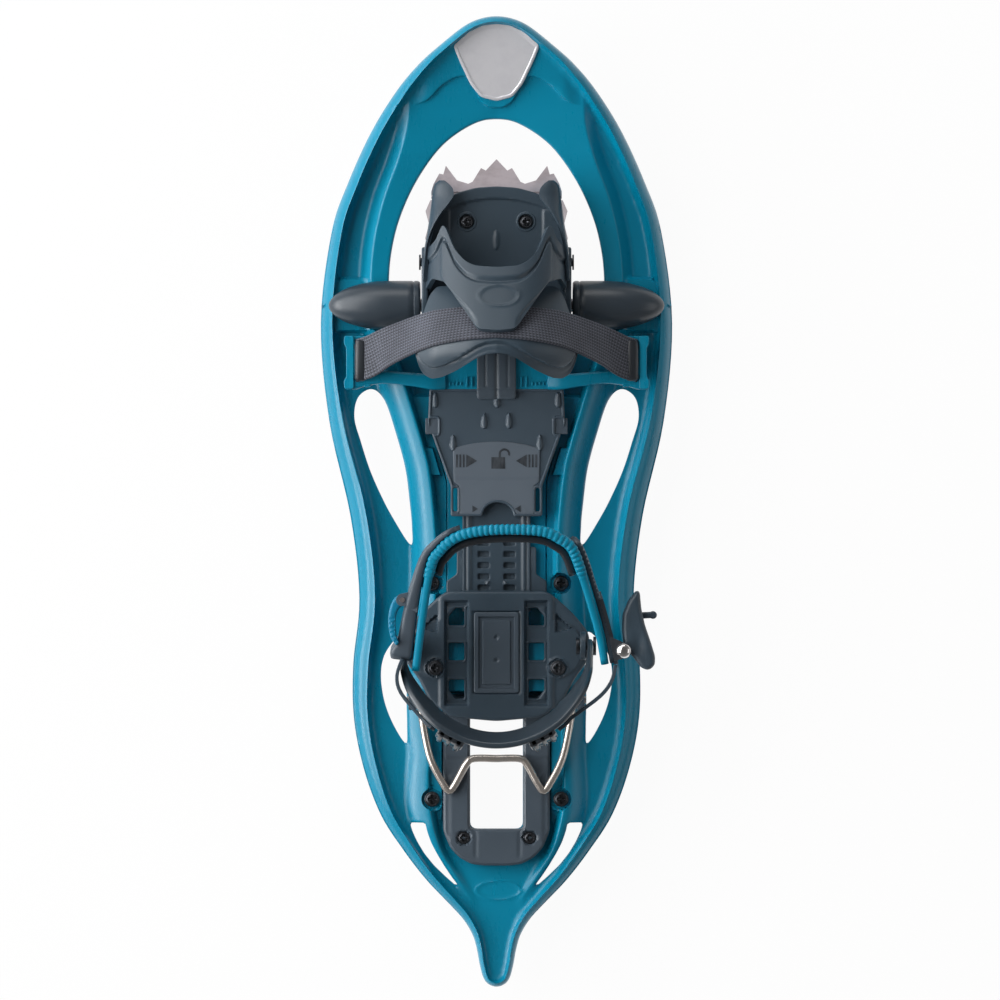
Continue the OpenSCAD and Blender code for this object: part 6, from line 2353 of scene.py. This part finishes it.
    def build_shell(self) -> bpy.types.Object:
        """Stiff outer shell on the left side, swelling behind the quick adjuster, with the adjuster's two ears.

        Returns:
            The shell.
        """
        rows = self.rows(self.ankle, 0.8)
        x, y = self.shell_from
        rows = rows[(rows[:, 0] < x) & (rows[:, 1] > y)]
        thick = smoothed(look_up(rows[:, 1], self.shell_thick), [1] * 7)
        parts = [self.ribbon(rows, self.shell_gap + thick / 2, thick, tall=rows[:, 3] - 1, round_edge=2.2)]
        head = arc(self.adjuster_at, self.ear_r, np.radians(np.linspace(95, 285, 14)))
        front, rear = self.ear_roots
        ear = np.concatenate([[front], head, [rear]])
        parts += [extruded(ear, low, low + self.ear_thick) for low in self.ear_z]
        return joined("shell_band", parts, 40, (0.5, 45, 2))

    def build_lever(self) -> bpy.types.Object:
        """Ratchet lever: two crowned leaves with the release tab between them and a solid foot.

        Returns:
            The lever.
        """
        loop = spline(evenly(rounded_loop(self.lever, 1.6), 2.0), 3, True)
        low, rim, seam, crown = self.leaf_z
        tx, ty, wide, long = self.thumb
        hub_r, *hub_z = self.hub

        def high(x: Array, y: Array, depth: Array) -> Array:
            """Crowned upper face with a thumb hollow."""
            return crown - edge_drop(depth, 2.6) - 0.9 * bell(x, tx, wide) * bell(y, ty, long)
        rings = (0.15, 0.4, 0.8, 1.3, 1.9, 2.6)
        parts = [Relief(loop, high, eased(seam), [], 0.9, rings).skin(),
                 Relief(loop, eased(rim), eased(low, 1.6, True), [], 1.1, rings).skin(),
                 extruded(rounded_loop(self.lever_foot, 0.8), *self.foot_z),
                 extruded(arc(self.lever_pivot, hub_r, whole_turn(28)), *hub_z)]
        return joined("lever_body", parts, 42)

    def build_tab(self) -> bpy.types.Object:
        """Release tab between the leaves of the lever, with a round grip outside.

        Returns:
            The tab.
        """
        *middle, r = self.grip
        *rear, rear_r = self.grip_back
        back = arc(rear, (-rear_r, rear_r), np.linspace(1.4, -1.4, 10))
        loop = np.concatenate([arc(middle, r, np.linspace(-2.2, 2.2, 16)), [(82, -63.9)], back, [(82, -67.7)]])
        low, high = self.tab_z
        relief = Relief(loop, eased(high, 1.2), eased(low, 1.0, True), [], 0.6, (0.15, 0.4, 0.8, 1.2))
        return relief.piece("release_grip", 40)

    def build_buckles(self) -> bpy.types.Object:
        """Two curved buckles that hold the heel straps on the cup.

        Returns:
            The buckles.
        """
        turn = math.radians(self.buckle_turn)
        (start, span), (least_thick, inset) = self.buckle_arch, self.buckle_root
        parts = []
        for side in SIDES:
            along = np.array([side * math.cos(turn), math.sin(turn), 0])
            out = np.array([side * math.sin(turn), -math.cos(turn), 0])
            middle = np.array([side * self.buckle_at[0], self.buckle_at[1], 0])
            for shift, wide, bulge in self.buckle_bars:
                rings = []
                for z in np.linspace(*self.buckle_z, 13):
                    deep = least_thick + bulge * math.sin(math.pi * (z - start) / span) ** 0.7
                    ring = soft_box(wide, deep, 1.1, 4) + [shift, deep / 2 - inset]
                    rings.append(middle + ring[:, :1] * along + ring[:, 1:] * out + [0, 0, z])
                parts.append(loft(np.array(rings[::-side])))
        return joined("strap_buckles", parts, 40, (0.5, 45, 2))

    def build_clip(self) -> bpy.types.Object:
        """Quick adjuster: a curved clip on its pivot.

        Returns:
            The clip.
        """
        nose = arc(self.adjuster_at, self.clip_nose, np.radians(np.linspace(-60, 80, 8)))
        loop = np.concatenate([spline(self.clip_outer, 5), spline(self.clip_inner, 5), nose])
        low, high = self.clip_z

        def top(x: Array, y: Array, depth: Array) -> Array:
            """Crowned face with finger grooves."""
            grooves = (np.cos(y * 2 * math.pi / self.tooth_pitch) > 0.3) * (y < -66) * (depth > 0.6)
            return high - edge_drop(depth, 1.4) - 0.4 * grooves
        return Relief(loop, top, eased(low, 1.0, True), [], 0.7, (0.15, 0.4, 0.8, 1.4)).piece("adjuster_clip", 40)

    def build_dome(self) -> bpy.types.Object:
        """Polished dome head on the lever's pivot.

        Returns:
            The dome.
        """
        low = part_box("ratchet_pin")[1][2] / MM - 2.2
        bend = np.linspace(0.15, math.pi / 2 - 0.03, 10)
        bore, foot, r, rise = self.dome
        profile = [(low, bore), (low, foot), (low + 0.5, r)]
        profile += [(low + 0.5 + rise * math.sin(a), r * math.cos(a)) for a in bend]
        return mesh_object("pivot_dome", *lathe(profile, (*self.lever_pivot, 0), 2, 40), 40)

    def build(self) -> None:
        """Make and dress every piece of the harness."""
        for make, body, finish, *nodes in (
                (self.build_cup, "harness", Finishes.cup, "heel_cup"),
                (self.build_ankle, "harness", Finishes.bright, "ankle_pad"),
                (self.build_liner, "harness", Finishes.black, "ankle_liner"),
                (self.build_ladder, "harness", Finishes.dark, "ladder_strap"),
                (self.build_shell, "harness", Finishes.grey, "ankle_shell"),
                (self.build_dome, "harness", Finishes.polished),
                (self.build_buckles, "harness", Finishes.gloss, "strap_sliders"),
                (self.build_lever, "lever", Finishes.dark, "ratchet_lever"),
                (self.build_tab, "tab", Finishes.dark, "release_tab"),
                (self.build_clip, "adjuster", Finishes.clip, "adjuster_lever")):
            settle(make(), body, finish, *nodes)
        for node, finish, edge in (
                ("heel_strap_left", Finishes.dark, 0.4), ("heel_strap_right", Finishes.dark, 0.4),
                ("ratchet_base", Finishes.black, 0.5), ("harness_rivets", Finishes.screw, 0.6),
                ("ratchet_pin", Finishes.steel, 0.4), ("tab_pin", Finishes.steel, 0.4),
                ("adjuster_pin", Finishes.steel, 0.4)):
            keep_solid(node, finish, edge)


def main() -> None:
    """Build every sub-assembly in order."""
    logging.basicConfig(level=logging.INFO, format="%(message)s")
    Studio().build()
    Deck().build()
    Lifter().build()
    Binding().build()
    Carriage().build()
    Harness().build()


if __name__ == "__main__":
    main()
